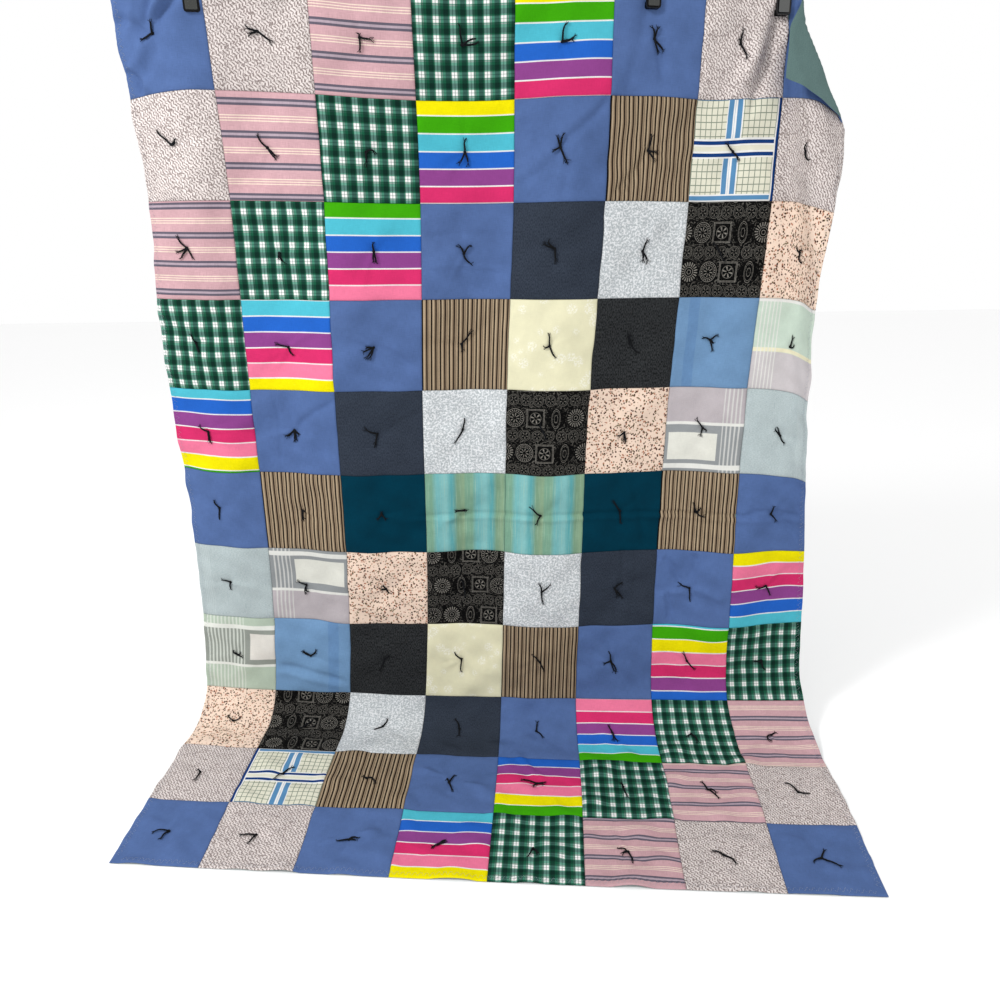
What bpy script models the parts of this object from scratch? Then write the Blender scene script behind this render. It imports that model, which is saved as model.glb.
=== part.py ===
"""Patchwork quilt hung from three trouser clips, its tail lying forward on the floor.

Two cloths, the pieced front and the plain backing, follow one surface. A place on
the cloth is (u, v): u counts squares from the left edge, v counts squares from the
top edge, and seams lie on whole numbers. The surface is worked out in squares in a
working frame (x to the right, y away from the viewer, z up from the floor), then
turned so that the top edge runs along X and moved so that the box is centred.
"""

import bmesh
import bpy
import numpy as np
from mathutils import Matrix, Vector, geometry

SQUARE = 0.2032  # one finished square, 8 inches
COLUMNS, ROWS = 8, 11
EDGE = 0.03  # share of an outer square turned in at the quilt's edge
TOP = 8.27  # height of the top edge, in squares
SHRINK = 0.983  # height taken up by one square's length of tied cloth
FLOOR_SLACK = 0.028  # length that each square on the floor loses to ripples
LIMP = 0.0016  # thickness of one cloth
GAP = 0.0003
TURN = np.radians(-7.0)
CENTRE = (-0.0443, -0.2483)  # the middle of the box, taken off so that it is centred

# Where the column seams run, in squares to the right, at six levels down the quilt.
SPREAD = np.array(
    [
        # v, left edge, the seams after columns 1 to 7, right edge
        (0.03, -3.66, -2.71, -1.77, -0.83, 0.14, 1.10, 2.01, 2.89, 3.84),
        (2.00, -3.67, -2.73, -1.77, -0.81, 0.14, 1.09, 1.99, 2.86, 3.81),
        (4.00, -3.74, -2.78, -1.82, -0.86, 0.08, 1.00, 1.92, 2.78, 3.72),
        (7.00, -3.79, -2.85, -1.87, -0.90, 0.04, 0.97, 1.90, 2.82, 3.77),
        (9.00, -3.93, -3.00, -2.02, -1.02, -0.02, 0.96, 1.95, 2.94, 3.90),
        (10.97, -3.98, -3.05, -2.08, -1.11, -0.13, 0.84, 1.82, 2.80, 3.76),
    ]
)

# The free corner right of the last clip hangs as a cone of straight lines from the
# clip. "turn" is a line's angle in the flat cloth from straight down, and the other
# two are the angles it takes to the right and towards the viewer, all in degrees.
# It goes out to the right, doubles back at a turn of 47 and shows the backing.
FALL = np.array(
    [
        # turn, right, forward
        (0, 0.0, 0.0),
        (6, 5.0, 1.2),
        (11, 7.4, 3.4),
        (14, 8.0, 5.6),
        (19, 8.6, 10.2),
        (27, 14.0, 12.6),
        (36, 21.6, 9.6),
        (42, 24.8, 8.2),
        (47, 24.4, 10.8),
        (51, 22.0, 13.4),
        (57, 17.8, 16.4),
        (66, 10.8, 20.4),
        (78, 0.8, 25.0),
        (90, -8.5, 28.5),
    ],
    float,
)

CLIPS = {"left": 0.90, "middle": 5.41, "right": 6.90}  # their middles, in squares
BITES = {"left": 0.028, "middle": 0.0, "right": 0.003}  # how much further down each grips, m
GRIP_ROW = 0.32  # a clip lines up with the cloth from the top edge to this row

CORNER_AT = 7.0  # where the free corner begins
CORNER_BLEND = (0.02, 0.42)  # how far from the clip the straight lines take over
CORNER_ENDS = (4.4, 6.8)  # the rows over which the straight lines give way again

# The bend onto the floor, in squares: its radius is least at one column and grows both ways.
BEND_RADIUS, BEND_LEAST_AT, BEND_GROWTH = 0.42, 2.2, 0.018
BUNCH, BUNCH_WIDTH = 0.06, 0.6  # length bunched up where the cloth meets the floor
FLOOR_ROW = 8  # the seam that lies about where the cloth meets the floor

# How the hanging part leans away from the viewer, in squares.
LEAN_SLOPE, LEAN_EASES = 0.125, 0.0215  # rise per column at the top, and its loss per row
BOW, BOW_MORE = 0.05, 0.10  # both sides curve back, and more below the clips
LEAN_ROW = 7  # the lean no longer changes below this row
LOOSE_TOP, LOOSE_FLOOR = (0.15, 1.8), (6.2, 8.2)  # rows where the waves grow and fade
LOOSE_LEFT, LOOSE_SLOPE = 0.6, 0.07
WAVES = [
    # height, length, start
    (0.070, 2.35, 0.55),
    (0.028, 1.27, -0.30),
]

# The left edge curls back from the viewer, most at the top.
CURL, CURL_LOSS, CURL_FROM, CURL_POWER = 0.37, 0.16, 0.82, 1.5
CURL_TOP, CURL_FLOOR = (1.8, 3.2), (5.0, 8.6)

# Between two clips the top edge sags and the cloth bellies forward.
SAG_LEFT, SAG_RIGHT, SAG_ROWS = 0.10, 0.03, 3.2
BELLY, BELLY_ROWS = 0.06, 1.6
DROOP, DROOP_FROM, DROOP_ROWS = 0.12, 0.8, 2.5  # the corner left of the first clip


def hermite(t, h, start, start_slope, end, end_slope):
    """The cubic that leaves start and reaches end with the given slopes over a span h."""
    a, b = 2 * t**3 - 3 * t**2 + 1, t**3 - 2 * t**2 + t
    return a * start + b * h * start_slope + (1 - a) * end + (t**3 - t**2) * h * end_slope


def through(x, xs, ys):
    """A smooth curve through the points (xs, ys): a cubic on each span whose slope at
    a point is the slope between that point's two neighbours."""
    slope = np.gradient(ys, xs, axis=0)
    i = np.clip(np.searchsorted(xs, x, side="right") - 1, 0, len(xs) - 2)
    h = xs[i + 1] - xs[i]
    t = np.clip((x - xs[i]) / h, 0, 1)
    return hermite(t, h, ys[i], slope[i], ys[i + 1], slope[i + 1])


def ease(x, low, high):
    """0 below low, 1 above high, and a smooth step between."""
    t = np.clip((x - low) / (high - low), 0, 1)
    return t * t * (3 - 2 * t)


def across(u, v):
    """x of a place: the six levels are read at v, and the nine seams found there at u."""
    knots = np.arange(COLUMNS + 1.0)
    knots[0], knots[-1] = EDGE, COLUMNS - EDGE
    seams = np.stack([through(v, SPREAD[:, 0], SPREAD[:, 1 + k]) for k in range(COLUMNS + 1)])
    i = np.clip(np.searchsorted(knots, u, side="right") - 1, 0, COLUMNS - 1)
    slope = np.gradient(seams, knots, axis=0)
    h = knots[i + 1] - knots[i]
    t = np.clip((u - knots[i]) / h, 0, 1)

    def pick(table, k):
        return np.take_along_axis(table, k[None], 0)[0]

    return hermite(t, h, pick(seams, i), pick(slope, i), pick(seams, i + 1), pick(slope, i + 1))


def path_down(u, v):
    """How far forward and how high a place is: straight down, round the bend, and
    forward over the floor."""
    radius = BEND_RADIUS + BEND_GROWTH * (u - BEND_LEAST_AT) ** 2
    s = SHRINK * (v - EDGE) - FLOOR_SLACK * np.maximum(v - FLOOR_ROW, 0)
    s = s + BUNCH * np.exp(-(((v - FLOOR_ROW) / BUNCH_WIDTH) ** 2))
    down = TOP - radius
    bend = np.clip((s - down) / radius, 0, np.pi / 2)
    flat = np.maximum(s - down - radius * np.pi / 2, 0)
    forward = radius * (1 - np.cos(bend)) + flat
    height = np.where(s < down, TOP - s, radius * (1 - np.sin(bend)))
    return forward, height


def hung(u, v):
    """A place on the cloth before its corner falls: the path down, with the lean, the
    long soft waves, the curled left edge and the sag between the clips."""
    forward, height = path_down(u, v)
    at, middle = np.minimum(v, LEAN_ROW), COLUMNS / 2
    lean = (LEAN_SLOPE - LEAN_EASES * at) * (u - middle)
    lean = lean + (BOW + BOW_MORE * ease(at, 0, 2)) * ((u - middle) / middle) ** 2
    loose = ease(v, *LOOSE_TOP) * (1 - ease(v, *LOOSE_FLOOR)) * (LOOSE_LEFT + LOOSE_SLOPE * u)
    waves = sum(high * np.sin(2 * np.pi * (u - start) / long) for high, long, start in WAVES)
    curl = (CURL - CURL_LOSS * ease(v, *CURL_TOP)) * (1 - ease(v, *CURL_FLOOR))
    curl = curl * (np.clip(CURL_FROM - u, 0, None) / (CURL_FROM - EDGE)) ** CURL_POWER

    first, second, last = CLIPS["left"], CLIPS["middle"], CLIPS["right"]
    span = np.where(u < second, (u - first) / (second - first), (u - second) / (last - second))
    arch = np.sin(np.pi * np.clip(span, 0, 1)) ** 2
    sag = np.where(u < second, SAG_LEFT, SAG_RIGHT) * arch * (1 - ease(v, 0, SAG_ROWS))
    droop = np.clip(DROOP_FROM - u, 0, None) ** CURL_POWER * (1 - ease(v, 0, DROOP_ROWS))
    belly = BELLY * arch * (1 - ease(v, 0, BELLY_ROWS)) * (u < second)
    away = lean + waves * loose + curl - belly - forward
    return np.stack([across(u, v), away, height - sag - DROOP * droop], -1)


def surface(u, v):
    """A place on the cloth, in metres. Right of the last clip the place is found on
    its straight line from the clip, next to where the clip's own column hangs."""
    u, v = np.asarray(u, float), np.asarray(v, float)
    place = hung(u, v)
    side, drop = np.maximum(u - CORNER_AT, 0), v - EDGE
    reach = np.hypot(side, drop)
    turn = np.degrees(np.arctan2(side, np.maximum(drop, 1e-9)))
    right = np.radians(through(turn, FALL[:, 0], FALL[:, 1]))
    ahead = np.radians(through(turn, FALL[:, 0], FALL[:, 2]))
    line = np.stack([np.tan(right), -np.tan(ahead), -np.ones_like(right)], -1)
    line /= np.linalg.norm(line, axis=-1, keepdims=True)
    line[..., 2] += 1
    fallen = hung(np.full_like(u, CORNER_AT), EDGE + reach) + SHRINK * reach[..., None] * line
    share = ease(reach, *CORNER_BLEND) * (1 - ease(v, *CORNER_ENDS)) * (u > CORNER_AT)
    place = place + share[..., None] * (fallen - place)
    place *= SQUARE
    place[..., 2] += LIMP + GAP / 2
    c, s = np.cos(TURN), np.sin(TURN)
    x, y, z = place[..., 0], place[..., 1], place[..., 2]
    return np.stack([c * x - s * y - CENTRE[0], s * x + c * y - CENTRE[1], z], -1)


def facing(u, v, step=0.004):
    """The direction the front of the cloth faces, from points a small step away."""
    lo_u, hi_u = np.maximum(u - step, EDGE), np.minimum(u + step, COLUMNS - EDGE)
    lo_v, hi_v = np.maximum(v - step, EDGE), np.minimum(v + step, ROWS - EDGE)
    n = np.cross(surface(u, hi_v) - surface(u, lo_v), surface(hi_u, v) - surface(lo_u, v))
    return n / np.linalg.norm(n, axis=-1, keepdims=True)


# The facets' corners. The columns and rows are closest where the cloth curves most.
GRID_COLUMNS = np.concatenate([[EDGE, 0.4, 0.8, 1.0], np.arange(1.5, 6.6, 0.5), [6.8, CORNER_AT]])
GRID_ROWS = np.concatenate(
    [
        [EDGE, 0.24],
        np.arange(0.65, 6.5, 0.5),
        np.arange(6.65, 8.9, 0.22),
        [9.1, 9.7, 10.3, ROWS - EDGE],
    ]
)
FAN_TURNS = np.radians([5, 11, 17, 23, 29, 35, 40, 44, 47, 50, 54, 60, 67, 75, 82.5, 90])
FAN_ROW = 3.65  # the fan of straight lines ends at this row
FAN_POWER = 1.15  # over 1 sets the points along a line closer together near the clip
EDGE_ROWS = (2.2, 2.85, FAN_ROW)  # rows that the right edge needs inside the fan
BELOW_COLUMNS = (7.3, 7.65, COLUMNS - EDGE)  # columns of the grid below the fan


def cloth_places():
    """The corners of the facets, as (u, v): a grid over most of the cloth and, in the
    free corner, points along the straight lines on which the cloth falls."""
    grid = np.stack(np.meshgrid(GRID_COLUMNS, GRID_ROWS), -1).reshape(-1, 2)
    right = COLUMNS - EDGE
    points = []
    for turn in FAN_TURNS:
        end = min((right - CORNER_AT) / np.sin(turn), (FAN_ROW - EDGE) / max(np.cos(turn), 1e-6))
        count = 5 if end < 1.3 else 7 if end < 2.5 else 9
        for share in (np.arange(1, count + 1) / count) ** FAN_POWER:
            points.append((CORNER_AT + share * end * np.sin(turn), EDGE + share * end * np.cos(turn)))
    rows = GRID_ROWS[GRID_ROWS > FAN_ROW + 0.1]
    below = np.stack(np.meshgrid(BELOW_COLUMNS, rows), -1).reshape(-1, 2)
    edge = [(right, row) for row in EDGE_ROWS]
    return np.concatenate([grid, points, edge, below])


def facets():
    """The facets' corners as (u, v) and the triangles between them, front side out."""
    flat = [Vector(p) for p in cloth_places()]
    verts, _, faces, *_ = geometry.delaunay_2d_cdt(flat, [], [], 0, 1e-5)
    uv = np.array([tuple(p) for p in verts])
    tris = np.array([face[:3] for face in faces], int)
    a, b, c = (uv[tris[:, k]] for k in range(3))
    area = (b[:, 0] - a[:, 0]) * (c[:, 1] - a[:, 1]) - (b[:, 1] - a[:, 1]) * (c[:, 0] - a[:, 0])
    tris, area = tris[np.abs(area) > 1e-7], area[np.abs(area) > 1e-7]
    tris[area > 0] = tris[area > 0][:, ::-1]  # v runs down, so this way round faces the front
    return uv, tris


def cloth(name, near, far, finish):
    """One cloth as a solid: its facets at two distances, near and far, from the
    surface, measured towards the front, joined round the rim."""
    uv, tris = facets()
    middle, out = surface(uv[:, 0], uv[:, 1]), facing(uv[:, 0], uv[:, 1])
    ends = np.concatenate([tris[:, [0, 1]], tris[:, [1, 2]], tris[:, [2, 0]]])
    pairs = {tuple(e) for e in ends}
    start, stop = np.array([e for e in pairs if (e[1], e[0]) not in pairs]).T
    n = len(uv)
    sides = [np.stack([stop, start, start + n], 1), np.stack([stop, start + n, stop + n], 1)]
    points = np.concatenate([middle + far * out, middle + near * out])
    faces = np.concatenate([tris, tris[:, ::-1] + n, *sides])
    mesh = bpy.data.meshes.new(name)
    mesh.from_pydata(points.tolist(), [], faces.tolist())
    finished(link(name, mesh), finish)
    print(name, len(faces), "triangles")


def link(name, mesh):
    made = bpy.data.objects.new(name, mesh)
    bpy.context.scene.collection.objects.link(made)
    return made


def finished(made, finish):
    """Gives the object its material and smooth shading up to a fold's sharp edge."""
    colour, roughness, metallic = FINISHES[finish]
    material = bpy.data.materials.new(f"{made.name} {finish}")
    material.use_nodes = True
    shader = material.node_tree.nodes["Principled BSDF"]
    shader.inputs["Base Color"].default_value = (*colour, 1)
    shader.inputs["Roughness"].default_value = roughness
    shader.inputs["Metallic"].default_value = metallic
    made.data.materials.clear()
    made.data.materials.append(material)
    made.data.shade_smooth()
    made.data.set_sharp_from_angle(angle=SHARP)
    made.data.update()


# Clips. Sizes are in metres in the clip's own frame: x across, y away from the
# viewer with 0 on the cloth's middle, z up.
JAW_WIDTH, JAW_LOW, JAW_HIGH, JAW_THICK, JAW_CORNER = 0.030, -0.040, 0.024, 0.0045, 0.005
JAW_CLEAR = LIMP + GAP / 2 + 0.0007  # from the cloth's middle to a jaw, over its bulges
PAD_HIGH, PAD_THICK, PAD_INSET, PAD_SINK = -0.012, 0.0022, 0.003, 0.001
WINDOW_WIDTH, WINDOW_LOW, WINDOW_HIGH, WINDOW_CORNER = 0.011, -0.008, 0.012, 0.003
CUT_PAST = 0.004  # how far the window's cutter runs past the jaw
STRAP_WIDTH, STRAP_THICK, STRAP_LOW = 0.012, 0.0010, 0.013
ARCH_LOW, ARCH_RISE, ARCH_STEPS = JAW_HIGH + 0.0008, 0.004, 13
ARM_CLEAR = 0.0003

# Colour as linear light, roughness and metallic.
FINISHES = {
    "pieced cotton": ((0.20, 0.24, 0.36), 0.88, 0.0),
    "backing cotton": ((0.15, 0.24, 0.22), 0.88, 0.0),
    "black plastic": ((0.006, 0.006, 0.007), 0.30, 0.0),
    "spring steel": ((0.50, 0.50, 0.51), 0.35, 1.0),
}
SHARP = np.radians(35)


def rounded(width, low, high, radius, steps=5):
    """A rectangle with rounded corners, as (x, z) points in order."""
    mid, half, tall = (low + high) / 2, width / 2 - radius, (high - low) / 2 - radius
    quarter = np.linspace(0, np.pi / 2, steps)
    points = []
    for k, (sx, sz) in enumerate(((1, 1), (-1, 1), (-1, -1), (1, -1))):
        for a in quarter + k * np.pi / 2:
            points.append((sx * half + radius * np.cos(a), mid + sz * tall + radius * np.sin(a)))
    return points


def closed(name, points, faces):
    """A mesh object from points and faces, with every face turned to point out."""
    work = bmesh.new()
    verts = [work.verts.new(p) for p in points]
    for face in faces:
        work.faces.new([verts[k] for k in face])
    bmesh.ops.recalc_face_normals(work, faces=work.faces)
    mesh = bpy.data.meshes.new(name)
    work.to_mesh(mesh)
    work.free()
    return link(name, mesh)


def prism(name, outline, y0, y1):
    """A straight block between y0 and y1 with this outline."""
    n = len(outline)
    points = [(x, y, z) for y in (y0, y1) for x, z in outline]
    faces = [tuple(range(n)), tuple(range(n, 2 * n))]
    faces += [(k, k + n, (k + 1) % n + n, (k + 1) % n) for k in range(n)]
    return closed(name, points, faces)


def combine(body, other, operation):
    """The body joined with or cut by the other, as a finished mesh."""
    change = body.modifiers.new("change", "BOOLEAN")
    change.operation, change.solver, change.object = operation, "EXACT", other
    graph = bpy.context.evaluated_depsgraph_get()
    result = bpy.data.meshes.new_from_object(body.evaluated_get(graph))
    body.modifiers.clear()
    body.data = result
    bpy.data.objects.remove(other)


def jaw(name, side):
    """A jaw with a thicker pad low down and a window between its two arms. side is
    -1 in front of the cloth and 1 behind it."""
    near, far = side * JAW_CLEAR, side * (JAW_CLEAR + JAW_THICK)
    body = prism(name, rounded(JAW_WIDTH, JAW_LOW, JAW_HIGH, JAW_CORNER), near, far)
    pad_outline = rounded(JAW_WIDTH - 2 * PAD_INSET, JAW_LOW + PAD_INSET, PAD_HIGH, PAD_INSET)
    pad = prism("pad", pad_outline, far - side * PAD_SINK, far + side * PAD_THICK)
    combine(body, pad, "UNION")
    window_outline = rounded(WINDOW_WIDTH, WINDOW_LOW, WINDOW_HIGH, WINDOW_CORNER)
    window = prism("window", window_outline, near - side * CUT_PAST, far + side * CUT_PAST)
    combine(body, window, "DIFFERENCE")
    finished(body, "black plastic")
    return body


def strap(name):
    """The sprung strap: two arms outside the jaws, joined by an arch over their tops."""
    inside = JAW_CLEAR + JAW_THICK + ARM_CLEAR
    outside = inside + STRAP_THICK
    arc = np.linspace(0, np.pi, ARCH_STEPS)
    inner = [(inside * np.cos(a), ARCH_LOW + ARCH_RISE * np.sin(a)) for a in arc]
    outer = [(outside * np.cos(a), ARCH_LOW + (ARCH_RISE + STRAP_THICK) * np.sin(a)) for a in arc]
    inner = [(inside, STRAP_LOW), *inner, (-inside, STRAP_LOW)]
    outer = [(outside, STRAP_LOW), *outer, (-outside, STRAP_LOW)]
    n, half = len(inner), STRAP_WIDTH / 2
    points = [(x, y, z) for x in (-half, half) for line in (inner, outer) for y, z in line]
    left_inner, left_outer, right_inner, right_outer = (range(k * n, (k + 1) * n) for k in range(4))
    faces = []
    for first, second in (
        (left_inner, left_outer),
        (left_outer, right_outer),
        (right_outer, right_inner),
        (right_inner, left_inner),
    ):
        faces += [(first[k], first[k + 1], second[k + 1], second[k]) for k in range(n - 1)]
    faces += [(left_inner[k], left_outer[k], right_outer[k], right_inner[k]) for k in (0, n - 1)]
    made = closed(name, points, faces)
    finished(made, "spring steel")
    return made


def place_clip(pieces, at, bite):
    """Stands a clip on the top edge at u = at, square to the cloth there, and then
    slides it down the cloth by its bite."""
    u = np.array([at - 0.06, at, at + 0.06])
    rim = surface(u, np.full(3, EDGE))
    grip = surface(u[1:2], np.array([GRIP_ROW]))[0]
    along = Vector(rim[2] - rim[0]).normalized()
    down = Vector(grip - rim[1]).normalized()
    away = along.cross(down).normalized()
    if away.y < 0:
        away = -away
    up = along.cross(away).normalized()
    where = Matrix((along, away, up)).transposed().to_4x4()
    where.translation = Vector(rim[1]) + down * bite
    for made in pieces:
        made.data.transform(where)
        made.data.update()


for old in list(bpy.data.objects):
    bpy.data.objects.remove(old)

cloth("pieced_top", GAP / 2, GAP / 2 + LIMP, "pieced cotton")
cloth("backing", -GAP / 2 - LIMP, -GAP / 2, "backing cotton")
for side, at in CLIPS.items():
    clip = [jaw(f"clip_{side}_front", -1), jaw(f"clip_{side}_back", 1), strap(f"clip_{side}_spring")]
    place_clip(clip, at, BITES[side])
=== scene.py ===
# %% [markdown]
# # A patchwork quilt hung from trouser clips
# Eighty-eight squares of cotton, eight across and eleven down, are sewn into a pieced
# top and laid on a plain backing. Nobody quilted it: a strand of black yarn is pushed
# through both cloths in the middle of each square and knotted, so the squares pucker
# round their ties. Three clips hold the top edge, the right corner flops forward, and
# the last rows sweep onto the floor. The CAD frame already holds the hung shape. This
# script puts the real cloths, seams, ties and clips on it.

import bmesh
import bpy
import numpy as np
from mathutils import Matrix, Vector


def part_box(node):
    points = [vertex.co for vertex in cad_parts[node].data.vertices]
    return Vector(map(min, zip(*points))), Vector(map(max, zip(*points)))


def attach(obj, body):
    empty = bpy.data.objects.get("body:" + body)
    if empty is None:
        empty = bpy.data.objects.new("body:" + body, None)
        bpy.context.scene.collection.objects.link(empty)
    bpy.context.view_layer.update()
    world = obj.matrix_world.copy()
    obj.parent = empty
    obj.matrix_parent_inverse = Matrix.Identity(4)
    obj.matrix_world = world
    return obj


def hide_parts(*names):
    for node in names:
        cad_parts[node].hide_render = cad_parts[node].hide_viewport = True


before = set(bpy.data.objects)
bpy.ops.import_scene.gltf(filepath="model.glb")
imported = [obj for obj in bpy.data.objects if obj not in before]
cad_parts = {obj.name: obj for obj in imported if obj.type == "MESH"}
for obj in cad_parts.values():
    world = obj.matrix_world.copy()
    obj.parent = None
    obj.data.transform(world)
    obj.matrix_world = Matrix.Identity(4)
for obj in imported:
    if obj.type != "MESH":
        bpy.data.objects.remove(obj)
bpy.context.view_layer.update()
scene = bpy.context.scene
scene.view_settings.view_transform = "Standard"
print("nodes:", ", ".join(sorted(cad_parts)))

# %% [markdown]
# ## The hung surface
# Both cloths follow one surface, which the CAD part also uses. A place on it is (u, v):
# u counts squares from the left edge and v counts squares from the top, so seams lie
# on whole numbers. It could have come from a cloth simulation, but the way this quilt
# hangs is known row by row, so a few smooth curves say it exactly and never change.

# %% Sizes of the quilt and of its fall
SQUARE = 0.2032  # one finished square, 8 inches
COLUMNS, ROWS = 8, 11
EDGE = 0.03  # share of an outer square turned in at the quilt's edge
TOP = 8.27  # height of the top edge, in squares
SHRINK = 0.983  # height taken up by one square's length of tied cloth
FLOOR_SLACK = 0.028  # length that each square on the floor loses to ripples
LIMP, GAP = 0.0016, 0.0003  # thickness of a cloth's solid, and the gap between the two
TURN = np.radians(-7.0)
CLIPS = {"left": 0.90, "middle": 5.41, "right": 6.90}  # their middles, in squares
CORNER_AT = 7.0  # where the free corner begins
CORNER_BLEND, CORNER_ENDS = (0.02, 0.42), (4.4, 6.8)
BEND_RADIUS, BEND_LEAST_AT, BEND_GROWTH = 0.42, 2.2, 0.018  # the bend onto the floor
BUNCH, BUNCH_WIDTH, FLOOR_ROW = 0.06, 0.6, 8
LEAN_SLOPE, LEAN_EASES, LEAN_ROW = 0.125, 0.0215, 7  # the lean away from the viewer
BOW, BOW_MORE = 0.05, 0.10  # both sides curve back, and more below the clips
LOOSE_TOP, LOOSE_FLOOR = (0.15, 1.8), (6.2, 8.2)  # rows where the waves grow and fade
LOOSE_LEFT, LOOSE_SLOPE = 0.6, 0.07
WAVES = [(0.070, 2.35, 0.55), (0.028, 1.27, -0.30)]  # height, length, start
CURL, CURL_LOSS, CURL_FROM, CURL_POWER = 0.37, 0.16, 0.82, 1.5  # the left edge
CURL_TOP, CURL_FLOOR = (1.8, 3.2), (5.0, 8.6)
SAG_LEFT, SAG_RIGHT, SAG_ROWS = 0.10, 0.03, 3.2  # the top edge between two clips
BELLY, BELLY_ROWS = 0.06, 1.6
DROOP, DROOP_FROM, DROOP_ROWS = 0.12, 0.8, 2.5  # the corner left of the first clip

# v, then the nine column seams in squares to the right at that level
SPREAD = np.array(
    [
        (0.03, -3.66, -2.71, -1.77, -0.83, 0.14, 1.10, 2.01, 2.89, 3.84),
        (2.00, -3.67, -2.73, -1.77, -0.81, 0.14, 1.09, 1.99, 2.86, 3.81),
        (4.00, -3.74, -2.78, -1.82, -0.86, 0.08, 1.00, 1.92, 2.78, 3.72),
        (7.00, -3.79, -2.85, -1.87, -0.90, 0.04, 0.97, 1.90, 2.82, 3.77),
        (9.00, -3.93, -3.00, -2.02, -1.02, -0.02, 0.96, 1.95, 2.94, 3.90),
        (10.97, -3.98, -3.05, -2.08, -1.11, -0.13, 0.84, 1.82, 2.80, 3.76),
    ]
)
# the free corner's straight lines from the last clip: turn, right and forward, degrees
FALL = np.array(
    [
        (0, 6, 11, 14, 19, 27, 36, 42, 47, 51, 57, 66, 78, 90),
        (0, 5, 7.4, 8, 8.6, 14, 21.6, 24.8, 24.4, 22, 17.8, 10.8, 0.8, -8.5),
        (0, 1.2, 3.4, 5.6, 10.2, 12.6, 9.6, 8.2, 10.8, 13.4, 16.4, 20.4, 25, 28.5),
    ]
)


def hermite(t, h, start, start_slope, end, end_slope):
    """The cubic that leaves start and reaches end with the given slopes over a span h."""
    a, b = 2 * t**3 - 3 * t**2 + 1, t**3 - 2 * t**2 + t
    return a * start + b * h * start_slope + (1 - a) * end + (t**3 - t**2) * h * end_slope


def through(x, xs, ys):
    """A smooth curve through (xs, ys): each span is a cubic whose end slopes are the
    slopes between the neighbours of its end points."""
    slope = np.gradient(ys, xs, axis=0)
    i = np.clip(np.searchsorted(xs, x, side="right") - 1, 0, len(xs) - 2)
    h = xs[i + 1] - xs[i]
    t = np.clip((x - xs[i]) / h, 0, 1)
    return hermite(t, h, ys[i], slope[i], ys[i + 1], slope[i + 1])


def ease(x, low, high):
    """0 below low, 1 above high, and 3t squared less 2t cubed between."""
    t = np.clip((x - low) / (high - low), 0, 1)
    return t * t * (3 - 2 * t)


def across(u, v):
    """How far right a place is: the six levels read at v, then its nine seams at u."""
    knots = np.arange(COLUMNS + 1.0)
    knots[0], knots[-1] = EDGE, COLUMNS - EDGE
    seams = np.stack([through(v, SPREAD[:, 0], SPREAD[:, 1 + k]) for k in range(COLUMNS + 1)])
    i = np.clip(np.searchsorted(knots, u, side="right") - 1, 0, COLUMNS - 1)
    slope = np.gradient(seams, knots, axis=0)
    h = knots[i + 1] - knots[i]
    t = np.clip((u - knots[i]) / h, 0, 1)

    def pick(table, k):
        return np.take_along_axis(table, k[None], 0)[0]

    return hermite(t, h, pick(seams, i), pick(slope, i), pick(seams, i + 1), pick(slope, i + 1))


def path_down(u, v):
    """How far forward and how high a place is, in squares: straight down from the top
    edge, round a bend whose radius grows to the sides, and forward over the floor."""
    radius = BEND_RADIUS + BEND_GROWTH * (u - BEND_LEAST_AT) ** 2
    s = SHRINK * (v - EDGE) - FLOOR_SLACK * np.maximum(v - FLOOR_ROW, 0)
    s = s + BUNCH * np.exp(-(((v - FLOOR_ROW) / BUNCH_WIDTH) ** 2))
    down = TOP - radius
    bend = np.clip((s - down) / radius, 0, np.pi / 2)
    forward = radius * (1 - np.cos(bend)) + np.maximum(s - down - radius * np.pi / 2, 0)
    return forward, np.where(s < down, TOP - s, radius * (1 - np.sin(bend)))


def hung(u, v):
    """A place before its corner falls: the path down, with the lean, the long soft
    waves, the curled left edge, and the sag and belly between the clips."""
    forward, height = path_down(u, v)
    at, middle = np.minimum(v, LEAN_ROW), COLUMNS / 2
    lean = (LEAN_SLOPE - LEAN_EASES * at) * (u - middle)
    lean = lean + (BOW + BOW_MORE * ease(at, 0, 2)) * ((u - middle) / middle) ** 2
    loose = ease(v, *LOOSE_TOP) * (1 - ease(v, *LOOSE_FLOOR)) * (LOOSE_LEFT + LOOSE_SLOPE * u)
    waves = sum(high * np.sin(2 * np.pi * (u - start) / long) for high, long, start in WAVES)
    curl = (CURL - CURL_LOSS * ease(v, *CURL_TOP)) * (1 - ease(v, *CURL_FLOOR))
    curl = curl * (np.clip(CURL_FROM - u, 0, None) / (CURL_FROM - EDGE)) ** CURL_POWER

    first, second, last = CLIPS.values()
    span = np.where(u < second, (u - first) / (second - first), (u - second) / (last - second))
    arch = np.sin(np.pi * np.clip(span, 0, 1)) ** 2
    sag = np.where(u < second, SAG_LEFT, SAG_RIGHT) * arch * (1 - ease(v, 0, SAG_ROWS))
    droop = np.clip(DROOP_FROM - u, 0, None) ** CURL_POWER * (1 - ease(v, 0, DROOP_ROWS))
    belly = BELLY * arch * (1 - ease(v, 0, BELLY_ROWS)) * (u < second)
    away = lean + waves * loose + curl - belly - forward
    return np.stack([across(u, v), away, height - sag - DROOP * droop], -1)


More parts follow.
